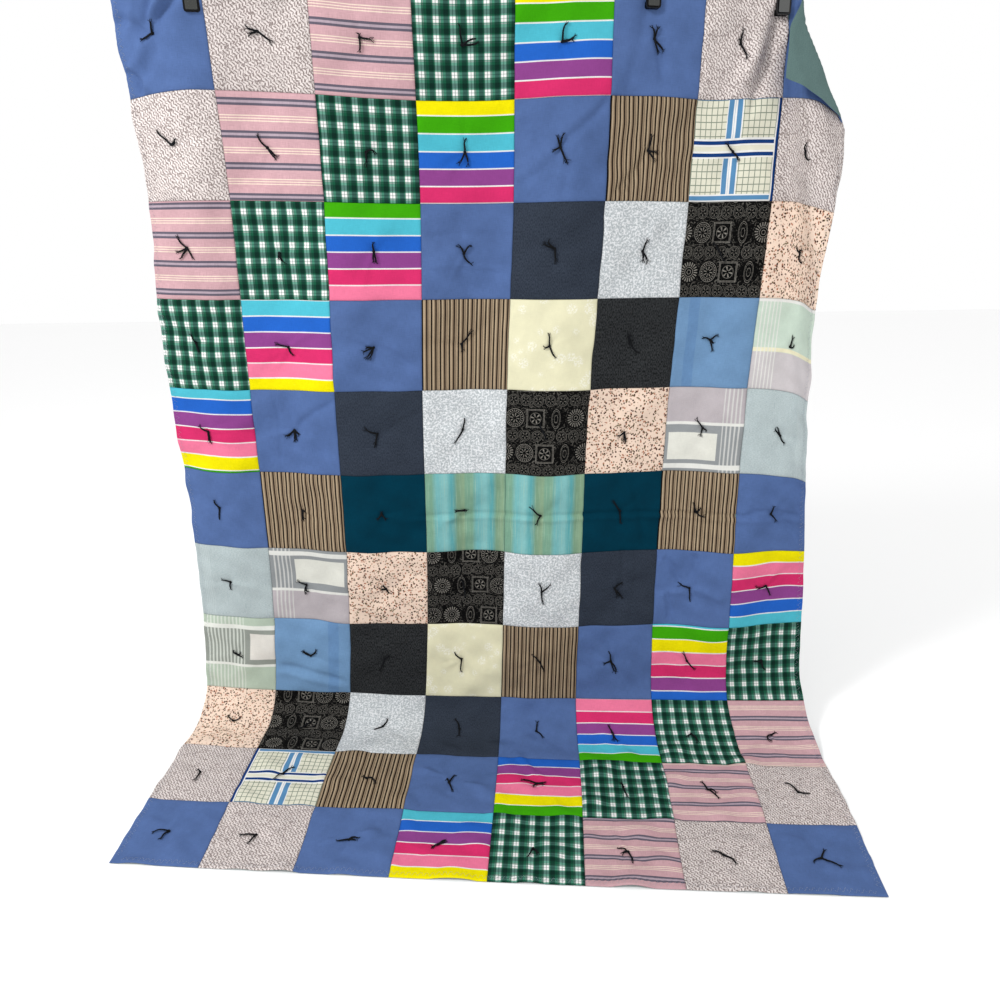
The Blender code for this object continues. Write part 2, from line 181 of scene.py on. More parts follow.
def in_squares(u, v):
    """The hung place, with the free corner right of the last clip moved onto its
    straight lines from the clip."""
    place = hung(u, v)
    side, drop = np.maximum(u - CORNER_AT, 0), v - EDGE
    reach = np.hypot(side, drop)
    turn = np.degrees(np.arctan2(side, np.maximum(drop, 1e-9)))
    right = np.radians(through(turn, FALL[0], FALL[1]))
    ahead = np.radians(through(turn, FALL[0], FALL[2]))
    line = np.stack([np.tan(right), -np.tan(ahead), -np.ones_like(right)], -1)
    line /= np.linalg.norm(line, axis=-1, keepdims=True)
    line[..., 2] += 1
    fallen = hung(np.full_like(u, CORNER_AT), EDGE + reach) + SHRINK * reach[..., None] * line
    share = ease(reach, *CORNER_BLEND) * (1 - ease(v, *CORNER_ENDS)) * (u > CORNER_AT)
    return place + share[..., None] * (fallen - place)


# %% [markdown]
# ### Tying the surface to the frame
# The surface is in its own working frame. It is turned so that the top edge runs along
# X, and the move that is left comes from the frame's own box for the two cloths, so
# nothing here can drift away from the CAD.

# %% Place the surface in the frame
low, high = (np.array(c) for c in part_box("pieced_top"))
over_u, over_v = np.linspace(EDGE, COLUMNS - EDGE, 161), np.linspace(EDGE, ROWS - EDGE, 221)


def turned(place):
    """Squares to metres, then the turn about Z."""
    place = place * SQUARE
    c, s = np.cos(TURN), np.sin(TURN)
    x, y, z = place[..., 0], place[..., 1], place[..., 2]
    return np.stack([c * x - s * y, s * x + c * y, z + LIMP + GAP / 2], -1)


rough = turned(in_squares(*np.meshgrid(over_u, over_v)))
rough_middle = (rough.min((0, 1)) + rough.max((0, 1))) / 2
MOVE = (low + high) / 2 - rough_middle
MOVE[2] = 0
print("move into the frame, in metres:", np.round(MOVE, 4))


def surface(u, v):
    """A place on the cloths' shared surface, in metres, in the frame."""
    return turned(in_squares(np.asarray(u, float), np.asarray(v, float))) + MOVE


def facing(u, v, step=0.004):
    """The way the front faces: the cross product of two short steps, down and right."""
    lo_u, hi_u = np.maximum(u - step, EDGE), np.minimum(u + step, COLUMNS - EDGE)
    lo_v, hi_v = np.maximum(v - step, EDGE), np.minimum(v + step, ROWS - EDGE)
    n = np.cross(surface(u, hi_v) - surface(u, lo_v), surface(hi_u, v) - surface(lo_u, v))
    return n / np.linalg.norm(n, axis=-1, keepdims=True)


# %% [markdown]
# ## Relief: what sewing and tying do to flat cloth
# A seam pulls the cloth down into a narrow ditch. Each square then stands a little
# proud, and its tie pulls the middle back to the backing, with wrinkles that run out
# from the knot. All of it is a height in metres out of the surface, worked out for
# whole arrays of places at once, so that squares, yarn and thread agree about it.

# %% Ties' places and wrinkles
rng = np.random.default_rng(88)
TIE_P = 0.47 + rng.uniform(-0.025, 0.025, (ROWS, COLUMNS))
TIE_Q = 0.49 + rng.uniform(-0.025, 0.025, (ROWS, COLUMNS))
TIE_P[0, 7], TIE_Q[0, 7] = 0.40, 0.55  # behind the free corner, clear of its outline
RAYS = 9
RAY_TURN = rng.uniform(0, 2 * np.pi, (ROWS, COLUMNS, RAYS))
RAY_LONG = rng.uniform(0.020, 0.075, (ROWS, COLUMNS, RAYS))
RAY_HIGH = rng.uniform(-0.0042, 0.0042, (ROWS, COLUMNS, RAYS))
WAVE = 0.0125  # one wave of the edge stitching
DITCH = 0.0030  # how far from a seam the cloth has risen most of the way
LOFT = 0.0018

# valleys and ridges that the hanging made: from (u, v) to (u, v), then the height in
# CREASE_HIGHs and the width in CREASE_WIDEs
CREASE_HIGH, CREASE_WIDE = 0.0028, 0.00085
CREASES = [
    (7.00, 0.14, 7.47, 1.46, -3.2, 9.0), (6.86, 0.22, 6.62, 1.30, -2.2, 13.0),
    (6.66, 0.50, 6.58, 1.42, 1.6, 20.0), (4.98, 1.02, 4.48, 1.48, -1.8, 11.0),
    (4.46, 1.52, 4.06, 1.86, -1.6, 13.0), (4.52, 1.62, 4.55, 1.98, -0.9, 14.0),
    (0.86, 0.10, 0.50, 0.46, -3.4, 10.0), (0.70, 0.08, 0.45, 0.42, 3.0, 11.0),
    (0.50, 0.06, 0.40, 0.45, -3.2, 11.0), (0.05, 0.30, 0.42, 0.48, -3.0, 12.0),
    (0.30, 0.06, 0.24, 0.44, 2.2, 12.0), (0.45, 0.52, 0.20, 0.96, -2.0, 16.0),
    (0.34, 0.55, 0.10, 0.80, 1.8, 15.0), (0.06, 0.74, 0.24, 0.98, -2.6, 9.0),
    (0.14, 0.70, 0.34, 0.96, 1.6, 10.0), (5.36, 0.14, 5.20, 0.98, -1.3, 16.0),
    (5.44, 0.14, 5.62, 0.98, -1.2, 15.0), (5.42, 1.52, 5.10, 1.96, -1.6, 8.0),
    (5.40, 1.54, 5.22, 1.98, -1.3, 7.0), (2.90, 5.53, 8.00, 5.50, -1.6, 5.0),
    (2.90, 5.58, 8.00, 5.56, 1.2, 7.0), (5.55, 5.98, 5.50, 6.98, -0.9, 7.0),
    (5.72, 6.02, 5.70, 6.98, -0.7, 6.0), (5.58, 5.05, 5.86, 5.98, -1.0, 10.0),
    (6.10, 6.10, 6.40, 6.46, -1.8, 10.0), (6.52, 6.05, 6.48, 6.44, -1.6, 11.0),
    (6.14, 6.55, 6.26, 6.98, -1.8, 10.0), (6.50, 6.52, 6.92, 6.60, 1.4, 12.0),
    (6.08, 6.62, 6.42, 6.52, 1.5, 11.0), (2.46, 3.50, 2.95, 3.72, -1.0, 8.0),
    (1.50, 4.45, 1.98, 4.08, -1.6, 7.0), (2.60, 4.45, 2.99, 4.22, -0.8, 6.0),
    (1.26, 4.05, 1.30, 4.95, -0.8, 5.0), (3.04, 2.66, 3.98, 2.66, 0.8, 4.0),
    (3.06, 2.34, 3.98, 2.30, -0.6, 9.0), (1.05, 7.66, 1.98, 7.80, -1.6, 10.0),
    (1.02, 7.74, 1.96, 7.90, 1.4, 12.0), (7.12, 5.50, 7.90, 5.46, -1.8, 8.0),
    (7.50, 5.48, 7.94, 5.86, -1.3, 12.0), (6.93, 0.14, 6.66, 1.04, -4.2, 24.0),
    (6.74, 0.30, 6.40, 1.10, 1.8, 24.0), (3.04, 2.20, 3.60, 2.94, -0.7, 12.0),
    (4.10, 1.20, 4.40, 1.60, -0.9, 12.0), (1.10, 4.20, 1.90, 4.90, 0.8, 14.0),
    (0.10, 5.20, 0.90, 5.90, -0.8, 12.0), (5.20, 7.10, 5.80, 7.90, -0.9, 12.0),
    (4.20, 8.90, 4.80, 9.90, 1.2, 16.0), (3.10, 9.30, 3.90, 9.60, 1.0, 10.0),
    (2.15, 10.60, 2.80, 10.30, 1.2, 9.0),
]
# long shallow waves: height in LONG_HIGHs, length in squares, heading and start in radians
LONG_HIGH = 0.0014
LONG_WAVES = [
    (1.3, 0.93, 0.3, 0.4),
    (1.0, 0.61, 1.2, 2.1),
    (0.8, 0.47, 2.5, 4.0),
    (0.5, 0.36, 0.8, 5.2),
    (0.4, 0.27, 1.9, 1.1),
]
DIP_WIDE, DIP_DEEP = 0.020, 0.0012  # the dip that both cloths take at a tie
CORNER_CALM = 0.85  # share of the waves that the free corner's straight lines pull out
SETTLED = (8.0, 8.7)  # rows over which the floor takes the cloth up
FLOOR_RISE, FLOOR_CLEAR = 1.6, 0.0002  # there the cloth only rises, and never sinks in
KNOT_PULL = 0.011  # radius of the hollow round a knot
RAY_ROOT, RAY_OPENS = 0.0018, 0.13  # a wrinkle's width at the knot, and its growth
GATHER, GATHER_REACH = 0.00030, 0.009  # small puckers beside the seams
PUCKER, PUCKER_AT = 0.0010, 0.010  # waves along the edge stitching
PROUD = 0.0006  # the least that the top stands off the surface


def long_waves(u, v):
    """Five shallow sine waves that cross at odd angles, with the largest 1.8 mm high."""
    total = np.zeros_like(u)
    for high, long, way, start in LONG_WAVES:
        phase = 2 * np.pi * (u * np.cos(way) + v * np.sin(way)) / long + start
        total = total + LONG_HIGH * high * np.sin(phase + 0.8 * np.sin(1.7 * u + 2.3 * v))
    return total


def crease_height(u, v):
    """Each crease is a bell across its line that fades in and out along it."""
    total = np.zeros_like(u)
    for u0, v0, u1, v1, high, wide in CREASES:
        run = np.hypot(u1 - u0, v1 - v0)
        du, dv = (u1 - u0) / run, (v1 - v0) / run
        along = ((u - u0) * du + (v - v0) * dv) / run
        off = (-(u - u0) * dv + (v - v0) * du + 0.02 * np.sin(5 * along)) * SQUARE
        fade = ease(along, -0.08, 0.12) * (1 - ease(along, 0.8, 1.06))
        total = total + CREASE_HIGH * high * fade * np.exp(-((off / (CREASE_WIDE * wide)) ** 2))
    return total


def to_seam(u, v):
    """Metres to the nearest seam or edge."""
    p, q = u - np.clip(np.floor(u), 0, COLUMNS - 1), v - np.clip(np.floor(v), 0, ROWS - 1)
    return np.minimum(np.minimum(p, 1 - p), np.minimum(q, 1 - q)) * SQUARE


def tie_offsets(u, v):
    """Column, row, and the metres right and up from that square's tie."""
    col = np.clip(np.floor(u), 0, COLUMNS - 1).astype(int)
    row = np.clip(np.floor(v), 0, ROWS - 1).astype(int)
    return col, row, (u - col - TIE_P[row, col]) * SQUARE, -(v - row - TIE_Q[row, col]) * SQUARE


def to_tie(u, v):
    """Metres to the tie of the square that a place is in."""
    return np.hypot(*tie_offsets(u, v)[2:])


def to_rim(u, v):
    """Metres to the quilt's edge: from a side, and from the top or bottom."""
    side, end = np.minimum(u - EDGE, COLUMNS - EDGE - u), np.minimum(v - EDGE, ROWS - EDGE - v)
    return side * SQUARE, end * SQUARE


def edge_roll(u, v):
    """0 at the quilt's edge and 1 once 4 mm inside it: the top rolls down to meet the
    backing there."""
    return np.sqrt(np.clip(np.minimum(*to_rim(u, v)) / 0.004, 0.0, 1.0))


def shared(u, v):
    """The height that both cloths take together: waves, creases and a dip at each tie.
    The free corner is calmer, and on the floor the cloth only rises."""
    dip = np.exp(-((to_tie(u, v) / DIP_WIDE) ** 2))
    calm = 1 - CORNER_CALM * (u > CORNER_AT) * (1 - ease(np.hypot(u - CORNER_AT, v), 0.3, 1.3))
    free = (long_waves(u, v) + crease_height(u, v)) * calm * (1 - 0.4 * dip) - DIP_DEEP * dip
    floor = ease(v, *SETTLED)
    return free * (1 - floor) + (np.maximum(FLOOR_RISE * free, 0) + FLOOR_CLEAR) * floor


def rise(u, v):
    """How far the pieced top stands off the surface on its own: up from its seams, down
    at its tie, and along each ray out of the tie a ridge or a valley that widens."""
    seam = to_seam(u, v)
    col, row, x, y = tie_offsets(u, v)
    r, turn = np.hypot(x, y), np.arctan2(y, x)
    open_up = 1 - np.exp(-seam / DITCH)
    rays = np.zeros_like(u)
    for k in range(RAYS):
        off = np.abs(np.angle(np.exp(1j * (turn - RAY_TURN[row, col, k])))) * r
        ray = np.exp(-((off / (RAY_ROOT + RAY_OPENS * r)) ** 2)) * np.exp(-r / RAY_LONG[row, col, k])
        rays = rays + RAY_HIGH[row, col, k] * ray * ease(r, 0.002, 0.008)
    height = LOFT * open_up * (1 - 0.9 * np.exp(-((r / KNOT_PULL) ** 2)))
    gather = GATHER * np.sin(2 * np.pi * (u + v) * 13 + 2 * np.sin(7 * (u - v)))
    height = height + rays * open_up + gather * np.exp(-seam / GATHER_REACH) * open_up
    side, end = to_rim(u, v)
    along, inside = np.where(side < end, v, u) * SQUARE, np.minimum(side, end)
    stitched = np.exp(-(((inside - PUCKER_AT) / PUCKER_AT) ** 2))
    height = height + PUCKER * stitched * np.sin(2 * np.pi * (along + 0.6 * inside) / WAVE)
    apex = np.where(u > CORNER_AT, ease(np.hypot(u - CORNER_AT, v), 0.2, 1.2), 1.0)
    return np.maximum(height * apex, 0) + PROUD


print(ROWS * COLUMNS, "ties,", RAYS, "wrinkles round each,", len(CREASES), "creases")

# %% [markdown]
# ## Mesh helpers
# A grid of points becomes a mesh with two maps: one in metres of cloth, which the
# prints and stripes follow, and one that fills the unit square.

# %% Grid and tube meshes
def link(name, mesh):
    made = bpy.data.objects.new(name, mesh)
    scene.collection.objects.link(made)
    return made


def mesh_of(name, points, quads):
    """Points and four-cornered faces written straight into a mesh."""
    mesh = bpy.data.meshes.new(name)
    mesh.vertices.add(len(points))
    mesh.vertices.foreach_set("co", np.asarray(points, np.float32).ravel())
    mesh.loops.add(quads.size)
    mesh.loops.foreach_set("vertex_index", quads.astype(np.int32).ravel())
    mesh.polygons.add(len(quads))
    mesh.polygons.foreach_set("loop_start", np.arange(0, quads.size, 4, dtype=np.int32))
    mesh.update(calc_edges=True)
    mesh.polygons.foreach_set("use_smooth", np.ones(len(quads), bool))
    return mesh


def grid_quads(down, wide):
    """The corner numbers of every cell of a grid, right way round for a front whose
    rows run down and whose columns run right."""
    at = np.arange(down * wide).reshape(down, wide)
    return np.stack([at[:-1, :-1], at[1:, :-1], at[1:, 1:], at[:-1, 1:]], -1).reshape(-1, 4)


def write_map(mesh, name, places):
    """A map that gives each corner the place of its vertex."""
    corners = np.empty(len(mesh.loops), np.int32)
    mesh.loops.foreach_get("vertex_index", corners)
    layer = mesh.uv_layers.new(name=name)
    layer.data.foreach_set("uv", np.asarray(places, np.float32)[corners].ravel())


def write_number(mesh, name, values):
    layer = mesh.attributes.new(name, "FLOAT", "POINT")
    layer.data.foreach_set("value", np.broadcast_to(values, len(mesh.vertices)).astype(np.float32))


# %% [markdown]
# ## Shader helpers
# Cloth patterns are sums about where a point lies in the cloth. Written as nodes those
# sums are long, so a small class lets Python's own signs add the Math nodes.

# %% Sums as nodes
class Value:
    """A number that changes over a surface. A sign between two adds one Math node."""

    def __init__(self, tree, socket):
        self.tree, self.socket = tree, socket

    def with_math(self, operation, *others):
        node = self.tree.nodes.new("ShaderNodeMath")
        node.operation = operation
        for socket, value in zip(node.inputs, (self, *others)):
            feed(self.tree, socket, value)
        return Value(self.tree, node.outputs[0])

    def __add__(self, other):
        return self.with_math("ADD", other)

    def __sub__(self, other):
        return self.with_math("SUBTRACT", other)

    def __mul__(self, other):
        return self.with_math("MULTIPLY", other)

    def __truediv__(self, other):
        return self.with_math("DIVIDE", other)

    def __rsub__(self, other):
        return self * -1 + other

    __radd__, __rmul__ = __add__, __mul__

    def fraction(self):
        return self.with_math("FRACT")

    def floor(self):
        return self.with_math("FLOOR")

    def sine(self):
        return self.with_math("SINE")

    def size(self):
        return self.with_math("ABSOLUTE")

    def most(self, other):
        return self.with_math("MAXIMUM", other)

    def step(self, low, high):
        """0 below low, 1 above high, smooth between."""
        node = self.tree.nodes.new("ShaderNodeMapRange")
        node.interpolation_type = "SMOOTHSTEP"
        for name, value in (("Value", self), ("From Min", low), ("From Max", high)):
            feed(self.tree, node.inputs[name], value)
        return Value(self.tree, node.outputs[0])

    def within(self, low, high, soft):
        """1 between low and high, with edges that are soft wide."""
        return self.step(low - soft, low + soft) * (1 - self.step(high - soft, high + soft))


def feed(tree, socket, value):
    """Links a value or a socket, or sets a plain number or colour."""
    if isinstance(value, Value):
        value = value.socket
    if isinstance(value, bpy.types.NodeSocket):
        tree.links.new(value, socket)
    else:
        socket.default_value = value


def ink(red, green, blue):
    """A colour given in the usual 0 to 255, as the linear light that shaders use."""
    c = np.array([red, green, blue]) / 255
    linear = np.where(c <= 0.04045, c / 12.92, ((c + 0.055) / 1.055) ** 2.4)
    return (*linear, 1.0)


def mix(tree, share, first, second, how="MIX"):
    """first where share is 0, second where it is 1."""
    node = tree.nodes.new("ShaderNodeMix")
    node.data_type, node.blend_type = "RGBA", how
    feed(tree, node.inputs[0], share)
    feed(tree, node.inputs[6], first)
    feed(tree, node.inputs[7], second)
    return node.outputs[2]


def bands(tree, at, repeat, rows, soft=0.0003):
    """Stripes of colour: rows of (where it starts, colour) along one repeat, in metres.
    Each change is a narrow blend, as where one thread colour gives way to the next."""
    node = tree.nodes.new("ShaderNodeValToRGB")
    feed(tree, node.inputs[0], (at / repeat).fraction())
    ramp = node.color_ramp
    ramp.elements[0].position, ramp.elements[0].color = 0, rows[0][1]
    ramp.elements[1].position, ramp.elements[1].color = 1, rows[-1][1]
    for (_, before), (start, after) in zip(rows, rows[1:]):
        for place, colour in ((start - soft, before), (start + soft, after)):
            ramp.elements.new(place / repeat).color = colour
    return node.outputs[0]


def noise(tree, x, y, detail=2.0, seed=0.0):
    """Soft noise at (x, y), both already divided by the grain's size."""
    node = tree.nodes.new("ShaderNodeTexNoise")
    node.inputs["Scale"].default_value = 1.0
    feed(tree, node.inputs["Detail"], detail)
    feed(tree, node.inputs["Vector"], vector(tree, x, y, seed))
    return Value(tree, node.outputs[0])


def cells(tree, x, y, seed=0.0):
    """Scattered points, about one to each unit square: the distance to the nearest."""
    node = tree.nodes.new("ShaderNodeTexVoronoi")
    node.inputs["Scale"].default_value = 1.0
    feed(tree, node.inputs["Vector"], vector(tree, x, y, seed))
    return Value(tree, node.outputs["Distance"])


def vector(tree, x, y, z=0.0):
    node = tree.nodes.new("ShaderNodeCombineXYZ")
    for socket, value in zip(node.inputs, (x, y, z)):
        feed(tree, socket, value)
    return node.outputs[0]


def parts_of(tree, socket):
    """A vector's x, y and z."""
    split = tree.nodes.new("ShaderNodeSeparateXYZ")
    tree.links.new(socket, split.inputs[0])
    return [Value(tree, output) for output in split.outputs]


def place_in(tree):
    """(x, y) in metres across and down the cloth, from the piece's own map."""
    node = tree.nodes.new("ShaderNodeUVMap")
    node.uv_map = "cloth"
    return parts_of(tree, node.outputs[0])[:2]


def place_on(tree):
    """(x, y, z) in metres on a hard piece or a strand, from Object coordinates."""
    return parts_of(tree, tree.nodes.new("ShaderNodeTexCoord").outputs["Object"])


def number_in(tree, name):
    node = tree.nodes.new("ShaderNodeAttribute")
    node.attribute_name = name
    return Value(tree, node.outputs["Fac"])


def node_group(name, defaults, results):
    """An empty group with the named inputs and outputs. "Colour" is a colour and the
    rest are numbers. Returns the group, its inputs as values, and its output sockets."""
    group = bpy.data.node_groups.new(name, "ShaderNodeTree")
    for way, names in (("INPUT", defaults), ("OUTPUT", results)):
        for title in names:
            kind = "NodeSocketColor" if title == "Colour" else "NodeSocketFloat"
            socket = group.interface.new_socket(title, in_out=way, socket_type=kind)
            if way == "INPUT":
                socket.default_value = defaults[title]
    source, sink = group.nodes.new("NodeGroupInput"), group.nodes.new("NodeGroupOutput")
    return group, {output.name: Value(group, output) for output in source.outputs}, sink.inputs


def placed(tree, group, **values):
    """A node that runs a group, with its inputs fed or set. Returns its outputs."""
    node = tree.nodes.new("ShaderNodeGroup")
    node.node_tree = group
    for title, value in values.items():
        feed(tree, node.inputs[title], value)
    return {output.name: Value(tree, output) for output in node.outputs}


def new_material(name, **settings):
    """A material with its tree and its Principled shader, some of whose inputs are set."""
    material = bpy.data.materials.new(name)
    material.use_nodes = True
    shader = material.node_tree.nodes["Principled BSDF"]
    for title, value in settings.items():
        shader.inputs[title.replace("_", " ")].default_value = value
    return material, material.node_tree, shader


def roughen(tree, shader, height, strength, distance=0.0003):
    """Tilts the shading as if the surface stood up by height times distance."""
    node = tree.nodes.new("ShaderNodeBump")
    node.inputs["Strength"].default_value = strength
    node.inputs["Distance"].default_value = distance
    feed(tree, node.inputs["Height"], height)
    tree.links.new(node.outputs["Normal"], shader.inputs["Normal"])


# %% [markdown]
# ## The cloth finish, shared by every fabric
# Plain-woven cotton is never one flat colour: threads are a little thick and thin, so
# short streaks run both ways, and washing has faded it in clouds. Shade is also painted
# into the colour along the seams, round the ties and along the backing's hem. One node
# group holds this, and each fabric gives it a colour. A second group makes the flecks
# that slubby or heathered yarn leaves, for the fabrics with them.

# %% Node groups: woven cotton, slub flecks
def make_cotton():
    """Colour times thread streaks, fading and the shade of the seams and ties."""
    defaults = {"Colour": (1.0, 1.0, 1.0, 1.0), "Thread": 0.0009, "Streaks": 0.12, "Fading": 0.10}
    group, given, results = node_group("woven cotton", defaults, ["Colour", "Roughness", "Height"])
    thread = given["Thread"]
    x, y = place_in(group)
    warp = noise(group, x / thread * 0.8, y / thread * 0.06)
    weft = noise(group, x / thread * 0.06, y / thread * 0.8, seed=4.0)
    streak = (warp + weft - 1.0) * given["Streaks"] * 2.0 + 1.0
    cloudy = noise(group, x / 0.045, y / 0.045, 3.0, 9.0)
    faded = (cloudy - 0.5) * given["Fading"] * 2.0 + 0.73
    # painted shade: darkens the colour by up to 40 % in the seams, round the ties and along the hem, where shade falls
    strength = streak * faded * (1.0 - number_in(group, "painted_shade") * 0.40) * number_in(group, "tone")
    shade = group.nodes.new("ShaderNodeCombineColor")
    for socket in shade.inputs:
        feed(group, socket, strength)
    feed(group, results["Colour"], mix(group, 1.0, given["Colour"], shade.outputs[0], "MULTIPLY"))
    feed(group, results["Roughness"], (cloudy - 0.5) * 0.12 + 0.86)
    over = (x / thread * (2 * np.pi)).sine() * (y / thread * (2 * np.pi)).sine()
    feed(group, results["Height"], over * 0.5 + (warp + weft) * 0.8)
    return group


def make_flecks():
    """A mask of short flecks, Across and Down their size: noise, then a smooth step."""
    defaults = {"Across": 0.0025, "Down": 0.0012, "Detail": 2.0, "Seed": 3.0, "Low": 0.3, "High": 0.7}
    group, given, results = node_group("slub flecks", defaults, ["Mask"])
    x, y = place_in(group)
    grain = noise(group, x / given["Across"], y / given["Down"], given["Detail"], given["Seed"])
    feed(group, results["Mask"], grain.step(given["Low"], given["High"]))
    return group


COTTON, FLECKS = make_cotton(), make_flecks()
print("node groups:", ", ".join(group.name for group in bpy.data.node_groups))


def flecked(tree, share, first, second, **values):
    """first, with second in short flecks as far as share."""
    return mix(tree, placed(tree, FLECKS, **values)["Mask"] * share, ink(*first), ink(*second))


def cloth_material(name, colour_of, thread=0.0009, streaks=0.12, fading=0.10):
    """A fabric: colour_of(tree, x, y) draws its print, the group weaves it."""
    material, tree, shader = new_material(name, Metallic=0.0, Specular_IOR_Level=0.05)
    colour = colour_of(tree, *place_in(tree))
    woven = placed(tree, COTTON, Colour=colour, Thread=thread, Streaks=streaks, Fading=fading)
    feed(tree, shader.inputs["Base Color"], woven["Colour"])
    feed(tree, shader.inputs["Roughness"], woven["Roughness"])
    roughen(tree, shader, woven["Height"], 0.35)
    return material


# %% [markdown]
# ## The fabrics
# Shirtings, sheets and dress cottons, each with the repeat it has on the bolt. A plain
# fabric is one dye. A woven stripe or tartan is bands of thread colour, and where warp
# and weft both show, the two sets of bands are averaged. A print is drawn as marks on a
# ground: rings, bars and scattered specks, each from the distance to a centre.

# %% Plain dyes
def dyed(*colour):
    return lambda tree, x, y: ink(*colour)


def heathered(colour, other, size=0.0011):
    """Two dyes twisted together: the second shows in short flecks along the threads."""
    grain = {"Across": size, "Down": size * 3, "Detail": 1.0, "Seed": 2.0, "Low": 0.42, "High": 0.62}
    return lambda tree, x, y: flecked(tree, 1.0, colour, other, **grain)


def light_blue(tree, x, y):
    """Sky blue, with the painted shade of a fold: a darker band down its left third."""
    painted_fold_shade = x.within(0.030, 0.058, 0.0015)
    return mix(tree, painted_fold_shade * 0.45, ink(120, 158, 198), ink(98, 138, 188))


def chambray(tree, x, y):
    """Pale sage chambray: white weft, with a few paler threads near one side."""
    ground = flecked(tree, 1.0, (176, 191, 193), (200, 211, 212), Across=0.0045, Low=0.35, High=0.65)
    thread = (x / 0.0054).fraction().within(0.1, 0.35, 0.08) * x.within(0.160, 0.190, 0.001)
    return mix(tree, thread * 0.4, ground, ink(226, 236, 234))


# %% Woven stripes
WHITE = ink(246, 246, 244)
BAND, LINE = 0.0349, 0.0026  # the bright stripe with its white line, and the line alone
BRIGHTS = [
    ink(66, 172, 12),
    ink(84, 196, 216),
    ink(40, 104, 204),
    ink(148, 72, 146),
    ink(224, 52, 112),
    ink(250, 128, 164),
    ink(252, 238, 6),
]


def bright_stripe(tree, x, y):
    """Seven broad bands down the cloth, a thin white line between each pair."""
    rows = []
    for k, colour in enumerate(BRIGHTS):
        rows += [(k * BAND, colour), ((k + 1) * BAND - LINE, WHITE)]
    return bands(tree, y, BAND * len(BRIGHTS), rows)


def rose_stripe(tree, x, y):
    """Dusty rose with a pair of grey bands, then three fine cream lines, every 59 mm."""
    rose, grey, pale, cream = ink(214, 172, 178), ink(104, 98, 112), ink(186, 168, 180), ink(252, 234, 214)
    rows = [(0, grey), (0.0046, pale), (0.0092, grey), (0.0138, rose)]
    for k in range(3):
        rows += [(0.0308 + 0.0048 * k, cream), (0.0325 + 0.0048 * k, rose)]
    return bands(tree, y, 0.059, rows, 0.0004)


def brown_stripe(tree, x, y):
    """Shirting in tan and brown, with black and fine cream lines down the cloth."""
    tan, brown, black, cream = ink(174, 153, 126), ink(138, 118, 96), ink(15, 12, 11), ink(200, 184, 156)
    rows = [(0, black), (0.0034, tan), (0.0054, cream), (0.0061, tan), (0.0078, brown)]
    rows += [(0.0102, black), (0.0131, brown), (0.0146, tan), (0.0159, black), (0.0168, tan)]
    return bands(tree, x, 0.0208, rows, 0.0003)


def ombre_stripe(tree, x, y):
    """Turquoise and sage stripes that bleed into each other, streaked along the warp."""
    rows = [(0, ink(128, 172, 148)), (0.022, ink(122, 188, 190)), (0.040, ink(138, 198, 198))]
    rows += [(0.058, ink(100, 174, 178)), (0.074, ink(128, 164, 136)), (0.090, ink(144, 174, 142))]
    rows += [(0.1000, ink(128, 172, 148))]
    colour = bands(tree, x, 0.1016, rows, 0.006)
    streak = placed(tree, FLECKS, Across=0.0022, Down=0.09, Seed=5.0, Low=0.5, High=0.75)["Mask"]
    return mix(tree, streak * 0.45, colour, ink(184, 208, 180))


TARTAN = 0.0333


def tartan(tree, x, y):
    """Dark green tartan: the same bands run both ways. Where they cross, the colour is
    warp to the power 0.53 times weft to the power 0.38, so white shows fully only where
    it crosses white, and the warp's lines show more than the weft's."""
    green, dark, white, black = ink(20, 80, 56), ink(9, 38, 30), ink(254, 255, 252), ink(84, 104, 98)
    rows = [(0, green), (0.0030, dark), (0.0128, green), (0.0157, white), (0.0205, black)]
    rows += [(0.0217, white), (0.0265, green), (0.0290, black), (0.0302, green)]
    warp, weft = (bands(tree, at, TARTAN, rows, 0.0007) for at in (x, y))
    parts = []
    for colour, share in ((warp, 0.53), (weft, 0.38)):
        node = tree.nodes.new("ShaderNodeGamma")
        feed(tree, node.inputs[0], colour)
        node.inputs[1].default_value = share
        parts.append(node.outputs[0])
    return mix(tree, 1.0, *parts, "MULTIPLY")


def windowpane(tree, x, y):
    """A tea-towel check: cream with a fine grid, a blue cross and navy lines."""
    cream, blue, navy = ink(236, 234, 214), ink(94, 146, 190), ink(24, 62, 124)
    fine = (x / 0.0128).fraction().within(0.0, 0.15, 0.03).most((y / 0.0140).fraction().within(0.0, 0.14, 0.03))
    colour = mix(tree, fine * 0.9, cream, ink(122, 136, 120))
    for at, low, high, shade in (
        (x, 0.076, 0.114, WHITE),
        (x, 0.078, 0.090, blue),
        (x, 0.0935, 0.0945, ink(170, 190, 214)),
        (x, 0.099, 0.111, blue),
        (y, 0.076, 0.115, WHITE),
        (y, 0.0905, 0.1005, cream),
        (y, 0.080, 0.0875, navy),
        (y, 0.1045, 0.112, navy),
        (y, 0.188, 0.2032, WHITE),
        (y, 0.191, 0.200, blue),
        (y, -0.01, 0.0012, blue),
        (x, 0.1935, 0.1965, WHITE),
        (x, 0.1965, 0.22, navy),
    ):
        colour = mix(tree, at.within(low, high, 0.0003), colour, shade)
    return colour


def fine_stripes(tree, colour, x, repeat, wide, between, share, shade):
    """Thin paler stripes, wide a share of each repeat, over one part of the cloth."""
    thread = (x / repeat).fraction().within(0.1, *wide) * x.within(*between, 0.001)
    return mix(tree, thread * share, colour, ink(*shade))


def across_bars(tree, colour, y, white, *bars):
    """White lines that run right across the cloth."""
    for bar in bars:
        colour = mix(tree, y.within(*bar), colour, ink(*white))
    return colour


